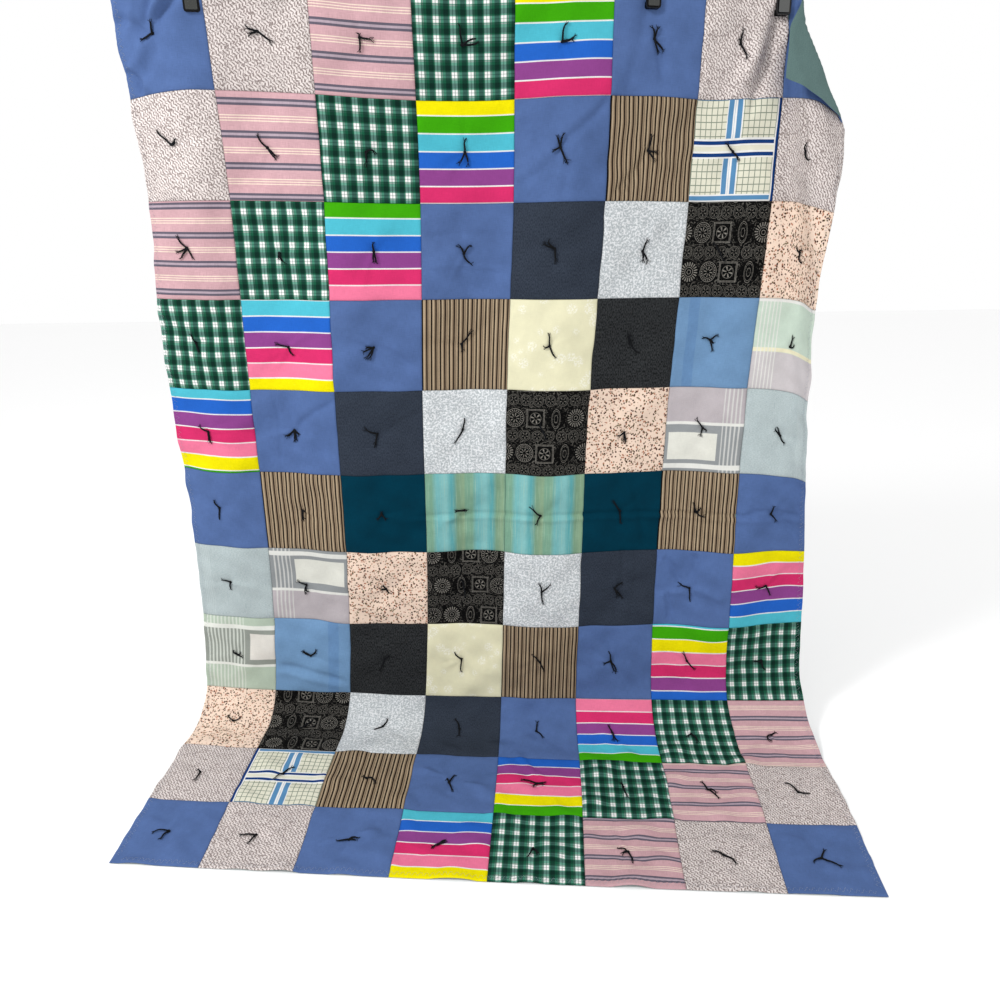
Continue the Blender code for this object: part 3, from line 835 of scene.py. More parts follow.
def sage_panel(tree, x, y):
    """A blanket-check shirting: sage above, a pale yellow line, lilac below, with fine
    white stripes down its left third and a white line on top."""
    upper = flecked(tree, 0.35, (204, 222, 206), (230, 238, 226))
    lower = flecked(tree, 0.35, (208, 202, 204), (230, 224, 224))
    colour = mix(tree, y.step(0.117, 0.118), upper, lower)
    colour = mix(tree, y.within(0.108, 0.117, 0.001), colour, ink(246, 240, 206))
    colour = fine_stripes(tree, colour, x, 0.0092, (0.45, 0.05), (0.006, 0.060), 0.75, (240, 240, 234))
    return across_bars(tree, colour, y, (240, 240, 236), (-0.01, 0.007, 0.001))


def lilac_panel(tree, x, y):
    """Lilac-grey above a white line, then grey round an off-white block, with fine
    white stripes down the right and a white line below."""
    upper = flecked(tree, 0.3, (190, 182, 186), (216, 208, 210))
    lower = flecked(tree, 0.3, (150, 154, 156), (176, 180, 180))
    colour = mix(tree, y.step(0.084, 0.085), upper, lower)
    colour = fine_stripes(tree, colour, x, 0.0104, (0.5, 0.05), (0.148, 0.196), 0.75, (226, 226, 222))
    block = x.within(0.008, 0.138, 0.0004) * y.within(0.108, 0.174, 0.0004)
    colour = mix(tree, block, colour, ink(232, 232, 222))
    return across_bars(tree, colour, y, (238, 238, 232), (0.082, 0.089, 0.0005), (0.184, 0.196, 0.0005))


def grey_panel(tree, x, y):
    """The same shirting cut further along: sage stripes and half of the white block."""
    upper = flecked(tree, 0.3, (184, 200, 182), (204, 216, 198))
    lower = flecked(tree, 0.3, (150, 156, 148), (178, 182, 174))
    colour = mix(tree, y.within(0.033, 0.132, 0.0006), upper, lower)
    colour = fine_stripes(tree, colour, x, 0.0104, (0.55, 0.06), (0.012, 0.118), 0.8, (224, 230, 220))
    block = x.step(0.1330, 0.1338) * y.within(0.046, 0.116, 0.0004)
    colour = mix(tree, block, colour, ink(234, 230, 222))
    return across_bars(tree, colour, y, (238, 240, 232), (0.022, 0.034, 0.0005), (0.130, 0.137, 0.0005))


# %% Prints
def vine_print(tree, x, y):
    """Off-white with taupe strokes in slanting rows, leaning one way and then the other,
    so that they read as tangled stems."""
    a, b = x * 0.91 - y * 0.42, x * 0.42 + y * 0.91
    bend = noise(tree, x / 0.013, y / 0.013, 1.0, 3.0) * 0.011
    row = (b + bend) / 0.0062
    way = (row.floor() * 0.5).fraction() * 4.0 - 1.0
    dash = (a / 0.0068 + way * row.fraction() * 0.55 + row.floor() * 0.31).fraction()
    mark = dash.within(0.12, 0.54, 0.09) * row.fraction().within(0.06, 0.94, 0.08)
    patchy = noise(tree, x / 0.007, y / 0.007, 2.0, 6.0)
    stem = (noise(tree, x / 0.009, y / 0.009, 1.0, 12.0) - 0.5).size().step(0.035, 0.015)
    drawn = (mark * patchy.step(0.26, 0.46)).most(stem * 0.8)
    return mix(tree, drawn, ink(246, 236, 232), ink(140, 126, 123))


def speck_print(tree, x, y):
    """Peach with tiny sprigs: a dark heart, a green leaf and a hooked stem to each."""
    colour = ink(252, 226, 206)
    for size, seed, reach, shade in (
        (0.0090, 9.0, 0.27, ink(190, 130, 102)),
        (0.0078, 5.0, 0.28, ink(100, 90, 58)),
        (0.0082, 1.0, 0.30, ink(74, 46, 36)),
        (0.0074, 14.0, 0.22, ink(146, 92, 72)),
    ):
        near = cells(tree, x / size, y / size, seed)
        ragged = noise(tree, x / 0.0016, y / 0.0016, 1.0, seed) * 0.36 - 0.18
        colour = mix(tree, (near + ragged).step(reach, reach - 0.05), colour, shade)
    return colour


def blossom_print(tree, x, y):
    """Pale grey with crowded white blossoms and a few darker grey leaves."""
    leaf = noise(tree, x / 0.0052, y / 0.0044, 3.0, 8.0)
    petal = noise(tree, x / 0.0046, y / 0.0046, 3.0, 2.0)
    colour = mix(tree, leaf.step(0.44, 0.58), ink(186, 193, 196), ink(212, 217, 220))
    colour = mix(tree, petal.step(0.50, 0.56), colour, ink(242, 245, 247))
    near = cells(tree, x / 0.013, y / 0.013, 2.0)
    colour = mix(tree, near.step(0.26, 0.18), colour, ink(246, 248, 250))
    return mix(tree, near.step(0.10, 0.06), colour, ink(170, 176, 180))


def tone_print(tree, x, y):
    """Cream with scattered flower heads in a paler cream, so that they barely show."""
    wobble = noise(tree, x / 0.006, y / 0.006, 2.0, 1.0) * 0.8
    near = cells(tree, x / 0.034 + wobble * 0.3, y / 0.034, 3.0)
    petal = noise(tree, x / 0.0042, y / 0.0042, 2.0, 6.0)
    flower = near.step(0.42, 0.30) * petal.step(0.46, 0.56)
    return mix(tree, flower * 0.8, ink(240, 236, 201), ink(254, 252, 236))


def ring_print(tree, x, y):
    """Black with fine pale line work. Rows of large medallions 50 mm apart, by turns a
    toothed ring, a framed square, a long oval and a burst of rays, stand between rows
    of small rings, with curls filling what is left."""
    drop = y / 0.0840
    big = drop.fraction().step(0.60, 0.601) * -1.0 + 1.0
    small = 1.0 - big
    wide = 0.0500
    col = x / wide + drop.floor() * 0.5
    cx, cy = (col.fraction() - 0.5) * wide, (drop.fraction() - 0.30) * 0.0840
    kind = ((col.floor() + drop.floor() * 3.0) / 4.0).fraction() * 4.0
    radius = (cx * cx + cy * cy).with_math("SQRT")
    turn = cy.with_math("ARCTAN2", cx)
    square = cx.size().most(cy.size())
    oval = (cx * cx * 4.4 + cy * cy).with_math("SQRT")

    def line(distance, at, half=0.00055):
        return distance.within(at - half, at + half, 0.00025)

    teeth = (turn * 22.0).sine().step(0.0, 0.4) * radius.within(0.0165, 0.0190, 0.0003)
    spokes = (turn * 8.0).sine().step(0.4, 0.8) * radius.within(0.0040, 0.0110, 0.0003)
    ring = line(radius, 0.0215).most(line(radius, 0.0140, 0.0004)).most(teeth).most(spokes)
    inner = (turn * 6.0).sine().step(0.3, 0.8) * radius.within(0.0030, 0.0120, 0.0004)
    panel = line(square, 0.0215).most(line(square, 0.0190, 0.0004)).most(inner)
    panel = panel.most(line(radius, 0.0135, 0.0004))
    long_oval = line(oval, 0.0225).most(line(oval, 0.0185, 0.0004)).most(line(oval, 0.0090))
    rays = (turn * 20.0).sine().step(0.1, 0.5) * radius.within(0.0125, 0.0215, 0.0003)
    burst = rays.most(line(radius, 0.0098)).most(line(radius, 0.0045))
    shapes = ring * kind.within(-0.5, 0.5, 0.01)
    for k, shape in enumerate((panel, long_oval, burst), 1):
        shapes = shapes.most(shape * kind.within(k - 0.5, k + 0.5, 0.01))
    tight = x / 0.0300
    sx, sy = (tight.fraction() - 0.5) * 0.0300, (drop.fraction() - 0.80) * 0.0840
    little = (sx * sx + sy * sy).with_math("SQRT")
    petals = (sy.with_math("ARCTAN2", sx) * 5.0).sine().step(0.3, 0.8) * little.within(0.0025, 0.0075, 0.0003)
    drawn = shapes * big
    drawn = drawn.most((line(little, 0.0125).most(line(little, 0.0095, 0.0004)).most(petals)) * small * 0.62)
    inside = (radius.step(0.0255, 0.0240) * big).most(little.step(0.0145, 0.0135) * small)
    wobble = noise(tree, x / 0.0050, y / 0.0050, 2.0, 2.0)
    curl = (cells(tree, x / 0.0150 + wobble * 0.8, y / 0.0150, 4.0) * 3.4 + wobble).fraction()
    curls = curl.within(0.36, 0.60, 0.05) * wobble.step(0.36, 0.50)
    faint = noise(tree, x / 0.0040, y / 0.0040, 2.0, 7.0)
    speckle = faint.step(0.60, 0.68) * 0.16
    drawn = drawn.most(curls * (1.0 - inside) * 0.42).most(speckle) * (faint.step(0.30, 0.60) * 0.5 + 0.5)
    return mix(tree, drawn * 0.80, ink(8, 8, 8), ink(158, 154, 146))


# %% One material for each fabric
FABRICS = {
    "blue": cloth_material("blue cotton", dyed(88, 114, 166), streaks=0.16, fading=0.14),
    "light_blue": cloth_material("sky blue cotton", light_blue, streaks=0.14),
    "slate": cloth_material("slate twill", heathered((58, 66, 79), (46, 53, 65), 0.0016), 0.0011, 0.14),
    "black": cloth_material("charcoal linen", heathered((56, 58, 60), (24, 26, 27), 0.0018), 0.0014, 0.30),
    "teal": cloth_material("deep teal cotton", dyed(0, 54, 73), streaks=0.16, fading=0.16),
    "sage": cloth_material("sage chambray", chambray),
    "aqua": cloth_material("turquoise and sage ombre stripe", ombre_stripe),
    "cream": cloth_material("cream on cream print", tone_print, streaks=0.05),
    "peach": cloth_material("peach sprig print", speck_print, streaks=0.06),
    "brown": cloth_material("tan and brown shirting", brown_stripe, streaks=0.10),
    "white": cloth_material("taupe vine print", vine_print, streaks=0.06),
    "pink": cloth_material("dusty rose stripe", rose_stripe, streaks=0.20),
    "plaid": cloth_material("green tartan", tartan, 0.0010, 0.16),
    "rainbow": cloth_material("bright band stripe", bright_stripe, streaks=0.12, fading=0.08),
    "check": cloth_material("blue cross windowpane", windowpane, streaks=0.06),
    "floral": cloth_material("grey blossom print", blossom_print, streaks=0.06),
    "rings": cloth_material("black ring and square print", ring_print, streaks=0.08),
    "sage_panel": cloth_material("sage and lilac shirting", sage_panel, streaks=0.08),
    "lilac_panel": cloth_material("lilac and grey shirting", lilac_panel, streaks=0.08),
    "grey_panel": cloth_material("sage striped shirting", grey_panel, streaks=0.08),
}
print(len(FABRICS), "fabrics")

# %% [markdown]
# ## The pieced top
# The squares run in diagonal lines of one fabric, and the lower half is the upper half
# turned about the middle. Each square is its own cut of cloth, 8 inches plus a seam
# allowance that folds under on all four sides, as a patchworker presses it, and each
# one is cut from its own place on the bolt, so no two line up by accident.

# %% Which fabric goes where
LAYOUT = [
    row.split()
    for row in (
        "blue white pink plaid rainbow blue white blue",
        "white pink plaid rainbow blue brown check white",
        "pink plaid rainbow blue slate floral rings peach",
        "plaid rainbow blue brown cream black light_blue sage_panel",
        "rainbow blue slate floral rings peach lilac_panel sage",
        "blue brown teal aqua aqua teal brown blue",
        "sage lilac_panel peach rings floral slate blue rainbow",
        "grey_panel light_blue black cream brown blue rainbow plaid",
        "peach rings floral slate blue rainbow plaid pink",
        "white check brown blue rainbow plaid pink white",
        "blue white blue rainbow plaid pink white blue",
    )
]
# where a square starts on its fabric's repeat, in metres down the cloth, by (row, column)
STARTS = {
    (1, 3): 0.0541,
    (1, 5): 0.2140,
    (2, 2): 0.0478,
    (2, 4): 0.2151,
    (3, 1): 0.0560,
    (3, 3): 0.0025,
    (4, 2): 0.0335,
    (5, 1): 0.0463,
    (7, 8): 0.0373,
    (8, 7): 0.0800,
    (9, 6): 0.0040,
    (9, 8): 0.0300,
    (10, 5): 0.0700,
    (10, 7): 0.0120,
    (11, 4): 0.0352,
    (11, 6): 0.0450,
}
UPRIGHT_BELOW = ("blue", "slate", "brown", "white")  # look the same either way up
ALSO_UPRIGHT = {(10, 5), (11, 4), (8, 1)}
SCATTERED = ("plaid", "brown", "white", "rings", "peach", "floral")  # cut from all over
CELLS = 39  # wide cells across a square, between the narrow ones at its seams
ALLOWANCE = 0.030  # seam allowance folded under, as a share of a square
FOLD = 0.0002  # how far the allowance lies in front of and behind the surface
NARROW = np.array([0.0, 0.004, 0.010, 0.018])
LINES = np.concatenate([NARROW, np.linspace(0.03, 0.97, CELLS + 1), 1 - NARROW[::-1]])
FOLDS = np.concatenate([[0, 0], LINES, [1, 1]])
TUCK = np.concatenate([[ALLOWANCE, 0.0], 0 * LINES, [0.0, -ALLOWANCE]])
DOWN = np.concatenate([[-FOLD, FOLD], np.nan * LINES, [FOLD, -FOLD]])
FLAT_AT = np.concatenate([[-ALLOWANCE, -0.002], LINES, [1.002, 1 + ALLOWANCE]])
SEAM_SHADE, TIE_SHADE = 0.0009, 0.006  # how far the shade reaches from a seam and a tie


def outer(share, line, last):
    """Lines of the quilt's own edge move in by the part that is turned under there."""
    low = EDGE if line == 0 else 0.0
    high = 1 - EDGE if line == last else 1.0
    return low + (high - low) * share


def make_square(row, col):
    """One square as a grid. The last two lines on each side are its allowance, which
    turns under at the seam and lies behind its own edge."""
    fabric = LAYOUT[row][col]
    p = outer(FOLDS + TUCK, col, COLUMNS - 1)
    q = outer(FOLDS + TUCK, row, ROWS - 1)
    u, v = np.meshgrid(col + p, row + q)
    own_u, own_v = (np.clip(at, first + 1e-6, first + 1 - 1e-6) for at, first in ((u, col), (v, row)))
    base, under = shared(u, v), np.fmin(*np.meshgrid(DOWN, DOWN))
    lift = np.where(np.isnan(under), rise(own_u, own_v) * edge_roll(u, v), np.nan_to_num(under))
    points = surface(u, v) + facing(u, v) * (base + lift)[..., None]
    mesh = mesh_of(f"square_{row + 1:02d}_{col + 1}", points.reshape(-1, 3), grid_quads(*u.shape))

    x, y = np.meshgrid(FLAT_AT * SQUARE, FLAT_AT * SQUARE)
    if row >= 6 and (row + 1, col + 1) not in ALSO_UPRIGHT and fabric not in UPRIGHT_BELOW:
        x, y = SQUARE - x, SQUARE - y
    y = y + STARTS.get((row + 1, col + 1), 0.0)
    if fabric in SCATTERED:
        x = x + 0.0071 * ((3 * row + 5 * col) % 7)
        y = y + 0.0113 * ((5 * row + 2 * col) % 6)
    write_map(mesh, "cloth", np.stack([x, y], -1).reshape(-1, 2))
    share = (FLAT_AT + ALLOWANCE) / (1 + 2 * ALLOWANCE)
    write_map(mesh, "OFBake", np.stack(np.meshgrid(share, 1 - share), -1).reshape(-1, 2))
    # painted shade: darker colour in the seams and round the tie, where shade falls
    painted_shade = np.exp(-to_seam(own_u, own_v) / SEAM_SHADE)
    painted_shade = painted_shade + 0.6 * np.exp(-((to_tie(own_u, own_v) / TIE_SHADE) ** 2))
    write_number(mesh, "painted_shade", np.clip(painted_shade, 0, 1).ravel())
    write_number(mesh, "tone", TONE[row, col])
    mesh.materials.append(FABRICS[fabric])
    return link(mesh.name, mesh)


TONE = 1 + rng.uniform(-0.045, 0.045, (ROWS, COLUMNS))
squares = [make_square(row, col) for row in range(ROWS) for col in range(COLUMNS)]
for square in squares:
    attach(square, "root")
    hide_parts("pieced_top")
print(len(squares), "squares of", (len(FOLDS) - 1) ** 2, "faces")

# %% [markdown]
# ## The backing
# One plain grey-green cotton, cut to the size of the finished top and turned in with it.
# Its own dips are the ties', because the yarn goes right through, and it shows where
# the free corner flops over to the front.

# %% Backing cloth
BACK_STEPS = 20  # cells along each square
CUSHION, CUSHION_REACH = 0.0010, 0.012  # how the backing fills out between seams and ties
HEM_AT, HEM_SPREAD = 0.004, 3e-6  # the shade along the turned-in edge
back_u = EDGE + (COLUMNS - 2 * EDGE) * np.linspace(0, 1, COLUMNS * BACK_STEPS + 1)
back_v = EDGE + (ROWS - 2 * EDGE) * np.linspace(0, 1, ROWS * BACK_STEPS + 1)
bu, bv = np.meshgrid(back_u, back_v)
tie_gap = to_tie(bu, bv)
puff = CUSHION * (1 - np.exp(-to_seam(bu, bv) / CUSHION_REACH)) + PROUD
puff = puff * (1 - 0.9 * np.exp(-((tie_gap / CUSHION_REACH) ** 2)))
under_lift = shared(bu, bv) - (puff + 0.0005) * edge_roll(bu, bv)
back_points = surface(bu, bv) + facing(bu, bv) * under_lift[..., None]
back_points[..., 2] = np.maximum(back_points[..., 2], FLOOR_CLEAR)
back_mesh = mesh_of("backing_cloth", back_points.reshape(-1, 3), grid_quads(*bu.shape)[:, ::-1])
write_map(back_mesh, "cloth", np.stack([bu * SQUARE, bv * SQUARE], -1).reshape(-1, 2))
write_map(back_mesh, "OFBake", np.stack([bu / COLUMNS, 1 - bv / ROWS], -1).reshape(-1, 2))
# painted shade: darker colour round the ties and along the turned-in edge
hem = np.exp(-((np.minimum(*to_rim(bu, bv)) - HEM_AT) ** 2) / HEM_SPREAD)
back_painted_shade = 0.5 * np.exp(-((tie_gap / TIE_SHADE) ** 2)) + 0.4 * hem
write_number(back_mesh, "painted_shade", np.clip(back_painted_shade, 0, 1).ravel())
write_number(back_mesh, "tone", 1.0)
backing = link("backing_cloth", back_mesh)
grey_green = heathered((108, 134, 131), (98, 124, 122))
backing.data.materials.append(cloth_material("grey green backing cotton", grey_green, 0.0009, 0.08))
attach(backing, "root")
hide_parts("backing")

# %% [markdown]
# ## Swept strands
# Yarn and thread are round strands that follow paths. One function sweeps any number of
# them at once: rings of points round each path, five to a ring, with closed ends.

# %% Strands from paths
def swept(paths, up, thick, sides=5):
    """paths is strands x points x 3, up the cloth's facing at each, thick the radius at
    each. Ring point k of a path point is path + radius (cos k side + sin k up)."""
    along = np.gradient(paths, axis=1)
    along /= np.linalg.norm(along, axis=-1, keepdims=True) + 1e-12
    side = np.cross(along, up)
    side /= np.linalg.norm(side, axis=-1, keepdims=True) + 1e-12
    lift = np.cross(side, along)
    turns = 2 * np.pi * np.arange(sides) / sides
    ring = side[:, :, None] * np.cos(turns)[:, None] + lift[:, :, None] * np.sin(turns)[:, None]
    points = paths[:, :, None] + ring * thick[:, :, None, None]
    count, length = paths.shape[:2]
    at = np.arange(count * length * sides).reshape(count, length, sides)
    ahead = np.roll(at, -1, axis=2)
    quads = np.stack([at[:, :-1], at[:, 1:], ahead[:, 1:], ahead[:, :-1]], -1).reshape(-1, 4)
    caps = np.concatenate([at[:, 0], at[:, -1, ::-1]])
    return points.reshape(-1, 3), quads, caps


def strands_mesh(name, paths, up, thick):
    points, quads, caps = swept(paths, up, thick)
    mesh = bpy.data.meshes.new(name)
    mesh.from_pydata(points.tolist(), [], quads.tolist() + caps.tolist())
    mesh.polygons.foreach_set("use_smooth", np.ones(len(mesh.polygons), bool))
    mesh.update()
    return mesh


def on_cloth(u, v, lift):
    """A place on the pieced top, lift metres above it, and the way it faces there."""
    out = facing(u, v)
    height = shared(u, v) + rise(u, v) * edge_roll(u, v) + lift
    return surface(u, v) + out * height[..., None], out


# %% [markdown]
# ## The yarn ties
# Each tie is a double strand of black yarn, knotted flat, with ends 15 to 40 mm long
# that fray. Every end is listed by the way it leaves the knot, clockwise from straight
# up, its length and how far it curls, so the ties lie as they were left.

# %% The ends of every tie
# one string to a row, with | between squares, and for each end the degrees clockwise
# from up, the millimetres, and the degrees of curl
TIES = [
    "8,23,0 258,29,-8|285,24,0 245,20,15 100,37,45|90,29,4 0,8,0 182,26,0|358,37,0 95,33,-20 70,30,0|"
    "8,35,0 105,30,-75 75,24,20|345,25,0 15,25,0 165,30,-25 155,32,-45|358,30,20 158,34,-14 330,12,0|200,14,0",
    "306,41,12 85,20,-60 115,15,-80|320,32,6 130,30,0 145,28,-8|190,32,-6 50,26,95|0,28,0 208,31,8 168,31,0|"
    "10,28,0 348,25,0 250,18,0 150,38,-10 158,34,0|20,33,-18 142,28,0 100,25,-10|318,28,0 140,26,0|10,18,50 140,26,-8",
    "322,33,10 240,28,20 195,29,25 130,27,45|155,26,0 190,14,0|358,20,0 172,27,0 185,24,-8|"
    "325,25,0 40,25,0 190,34,-95|315,24,0 290,30,10 160,31,8|20,30,0 145,30,0 175,24,0|315,26,0 150,30,0|"
    "320,16,0 20,14,30 175,26,-65",
    "340,23,0 160,25,0|300,32,-30 150,22,12|255,27,-10 215,32,8 200,29,0 275,18,0|33,41,6 165,18,0|"
    "0,30,-6 148,32,0 250,14,0|345,27,0 335,20,0 145,31,0|298,24,-25 58,24,0 162,28,0 110,12,40|38,30,-18 100,22,-45",
    "300,25,8 180,31,0 186,28,0|225,24,0 185,29,-6 168,26,0 236,30,0 130,18,0|295,35,0 182,33,6 200,28,0|"
    "13,29,0 195,40,28|330,22,0 150,22,0|262,22,-30 172,28,8 180,24,0|313,30,6 115,14,0 192,22,0|"
    "340,23,0 300,23,0 132,24,-8",
    "330,25,14 178,29,0|180,28,0 40,10,90 172,22,0|140,18,0 230,18,0 0,8,0|285,24,-30 262,24,20 60,10,80|"
    "307,37,18 205,27,-14|320,36,16 178,32,0|342,28,0 112,28,-12 60,20,-20|5,25,10 137,27,8",
    "300,24,-26 180,23,0|302,27,0 175,26,0 165,20,0|330,15,0 275,12,0 150,17,0|340,24,0 175,28,0|"
    "348,29,0 50,33,0 176,35,-6|25,27,55 145,38,-6 155,30,0|292,34,-10 178,36,0|268,32,14 262,26,0 150,30,12",
    "105,22,0 290,12,60 85,18,-20|312,27,-12 300,24,0 43,28,-10 55,20,0|40,18,0 205,38,0|305,28,8 180,35,4|"
    "317,29,0 155,32,-8|350,27,8 150,36,0 160,30,0 255,22,0|328,30,0 140,33,-10|250,22,30 165,27,-8",
    "310,22,0 110,30,-100|35,20,0 215,22,0|30,28,-20 215,26,30|346,33,-20 167,30,20|6,32,0 145,30,-10|"
    "341,27,0 160,34,0 183,30,0|230,19,0 150,36,20|280,34,-170 60,16,0",
    "300,12,20 165,38,25|38,34,0 208,30,0|85,36,90 290,12,0|25,30,0 160,36,0 320,12,0|"
    "277,40,0 90,22,0 210,22,0 120,18,0|340,18,0 169,42,0|329,29,0 146,40,0 130,25,0|331,40,-20 118,28,-25",
    "255,38,0 194,30,0|254,37,0 200,32,0|249,27,0 55,24,60 100,16,0|230,16,0 55,20,0 245,18,0 60,18,0|"
    "201,31,0 130,25,40|278,24,0 156,35,15 235,18,0|288,26,0 140,36,0|240,26,0 12,28,25 135,45,0",
]
STRAND_POINTS, PLIES = 15, 4
YARN = 0.00096  # one ply's radius
TWIST = 0.00120  # how far a ply's middle winds about the end's own
FRAY = 0.0062  # how far apart the plies may end
LIE = 0.0022  # height of an end's middle over the cloth
KNOT_YARN = 0.00105  # radius of the yarn in the knot, pulled tight
KNOT_LOOPS = ((0.0023, 0.0016, 0.0004), (0.0016, 0.0022, -0.0004), (0.0020, 0.0009, 0))
BEHIND, BEHIND_LONG = 0.0008, 0.0045  # the yarn behind: radius, and half its length


def by_tie(row, col, x, y):
    """The place (u, v) that lies x metres right of and y metres above a square's tie."""
    return col + TIE_P[row, col] + x / SQUARE, row + TIE_Q[row, col] - y / SQUARE


def tie_end(row, col, way, long, curl):
    """Four plies that leave the knot together, twist, and part near the tip. The middle
    line turns evenly from its first heading through its curl."""
    t = np.linspace(0, 1, STRAND_POINTS)
    wander = rng.uniform(-14, 14) * np.sin(np.pi * t * rng.uniform(1.2, 2.2))
    heading = np.radians(way + curl * t + wander)
    step = 0.001 * long / (STRAND_POINTS - 1)
    x = np.concatenate([[0], np.cumsum(np.sin(heading[1:]) * step)])
    y = np.concatenate([[0], np.cumsum(np.cos(heading[1:]) * step)])
    ply = np.arange(PLIES)[:, None]
    part = rng.uniform(0.45, 0.80)
    spread = rng.uniform(-1, 1, (PLIES, 1)) * FRAY * np.clip((t - part) / (1 - part), 0, 1) ** 1.4
    twist = 2 * np.pi * (ply / PLIES + 1.6 * t) + rng.uniform(0, 6)
    round_up = TWIST * (1 - 0.5 * t) * np.sin(twist)
    off = spread + TWIST * np.cos(twist)
    u, v = by_tie(row, col, x + np.cos(heading) * off, y - np.sin(heading) * off)
    bow = 0.0016 * np.sin(np.pi * np.clip(t * 1.05, 0, 1)) * rng.uniform(0.3, 1.6)
    thick = np.broadcast_to(YARN * (1 - 0.55 * t**2), (PLIES, STRAND_POINTS))
    return u, v, LIE + bow + round_up, thick


def knot(row, col, lean):
    """Three turns of yarn across the bite: ellipses that lean, and wave up and down."""
    t = np.linspace(0, 2 * np.pi, STRAND_POINTS)
    wide, tall, shift = np.array(KNOT_LOOPS).T[..., None]
    x = wide * np.cos(t) * np.cos(lean) - tall * np.sin(t) * np.sin(lean) + shift
    y = wide * np.cos(t) * np.sin(lean) + tall * np.sin(t) * np.cos(lean)
    k = np.arange(len(KNOT_LOOPS))[:, None]
    lift = 0.0016 + 0.0012 * np.sin(2 * t + k) + 0.0005 * k
    return *by_tie(row, col, x, y), lift, np.full(x.shape, KNOT_YARN)


def behind(row, col):
    """The stitch that shows on the back: a short flat arch between the two holes, which
    the floor presses level."""
    t = np.linspace(-1, 1, STRAND_POINTS)
    u, v = by_tie(row, col, BEHIND_LONG * t * np.ones((2, 1)), np.array([[0.0007], [-0.0007]]) + 0 * t)
    lift = shared(u, v) - 0.0022 - 0.0009 * (1 - t**2)
    points = surface(u, v) + facing(u, v) * lift[..., None]
    points[..., 2] = np.maximum(points[..., 2], BEHIND)
    return points, facing(u, v), np.full(u.shape, BEHIND)


def yarn_material():
    """Black acrylic yarn: plies with fine fuzz, a little blue, and no shine."""
    material, tree, shader = new_material("black tie yarn", Specular_IOR_Level=0.15)
    x, y, z = place_on(tree)
    fibre = noise(tree, (x + y) / 0.0006, z / 0.0006, 2.0, 1.0)
    feed(tree, shader.inputs["Base Color"], mix(tree, fibre, ink(5, 6, 8), ink(22, 24, 28)))
    feed(tree, shader.inputs["Roughness"], fibre * 0.2 + 0.75)
    roughen(tree, shader, fibre, 0.6)
    return material


YARN_MATERIAL = yarn_material()


def tie_row(row):
    """One mesh for a row's ties: for each square its ends, its knot and the stitch
    behind it."""
    strands = []
    for col, ends in enumerate(TIES[row].split("|")):
        shapes = [tie_end(row, col, *(float(n) for n in end.split(","))) for end in ends.split()]
        shapes.append(knot(row, col, rng.uniform(0, np.pi)))
        strands += [(*on_cloth(u, v, lift), thick) for u, v, lift, thick in shapes]
        strands.append(behind(row, col))
    mesh = strands_mesh(f"ties_row_{row + 1:02d}", *(np.concatenate(part) for part in zip(*strands)))
    mesh.materials.append(YARN_MATERIAL)
    made = link(mesh.name, mesh)
    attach(made, "root")
    return made


ties = [tie_row(row) for row in range(ROWS)]
print("ties:", sum(len(t.data.polygons) for t in ties), "faces")

# %% [markdown]
# ## The edge stitching
# A machine stitch in a wave runs round the quilt just inside its edge and holds the two
# cloths together. It is real thread here: short strands, one to a stitch, that dip into
# the cloth at each end.

# %% Wave stitch round the edge
STITCH = 0.0032
THREAD = 0.00025  # its radius
WAVE_IN, WAVE_OUT = 0.0150, 0.0060  # how far inside the edge the wave reaches
DIVE = np.array([-0.0004, 0.0003, 0.0004, 0.0003, -0.0004])  # height along one stitch


def edge_walk():
    """(u, v) along each stitch, five places to a stitch, on all four sides. The wave
    goes in from the edge as 1 less a cosine."""
    wide, tall = (COLUMNS - 2 * EDGE) * SQUARE, (ROWS - 2 * EDGE) * SQUARE
    margin = WAVE_OUT + WAVE_IN
    sides = []
    for length, start, go, turn_in in (
        (wide, (0, 0), (1, 0), (0, 1)),
        (tall, (1, 0), (0, 1), (-1, 0)),
        (wide, (1, 1), (-1, 0), (0, -1)),
        (tall, (0, 1), (0, -1), (1, 0)),
    ):
        s = np.arange(margin, length - margin, STITCH / 6)
        s = s[: len(s) // 5 * 5]
        reach = WAVE_OUT + (WAVE_IN - WAVE_OUT) * 0.5 * (1 - np.cos(2 * np.pi * s / WAVE))
        x = start[0] * wide + go[0] * s + turn_in[0] * reach
        y = start[1] * tall + go[1] * s + turn_in[1] * reach
        sides.append(np.stack([EDGE + x / SQUARE, EDGE + y / SQUARE], -1).reshape(-1, 5, 2))
    return np.concatenate(sides)


def thread_material(name, colour):
    """Polyester thread: a fine twist, with painted shade in the grooves between its plies."""
    material, tree, shader = new_material(name)
    x, y, z = place_on(tree)
    twist = ((x + y + z) * (2 * np.pi / 0.0008)).sine() * 0.5 + 0.5
    # painted shade: the twist's grooves are drawn 30 % darker than the thread
    dark = tuple(c * 0.7 for c in ink(*colour)[:3]) + (1.0,)
    feed(tree, shader.inputs["Base Color"], mix(tree, twist, dark, ink(*colour)))
    feed(tree, shader.inputs["Roughness"], twist * 0.15 + 0.5)
    return material


walk = edge_walk()
stitch_points, stitch_up = on_cloth(walk[..., 0], walk[..., 1], DIVE)
stitch_mesh = strands_mesh("edge_stitching", stitch_points, stitch_up, np.full(walk.shape[:2], THREAD))
stitch_mesh.materials.append(thread_material("grey sewing thread", (150, 156, 168)))
stitching = link("edge_stitching", stitch_mesh)
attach(stitching, "root")
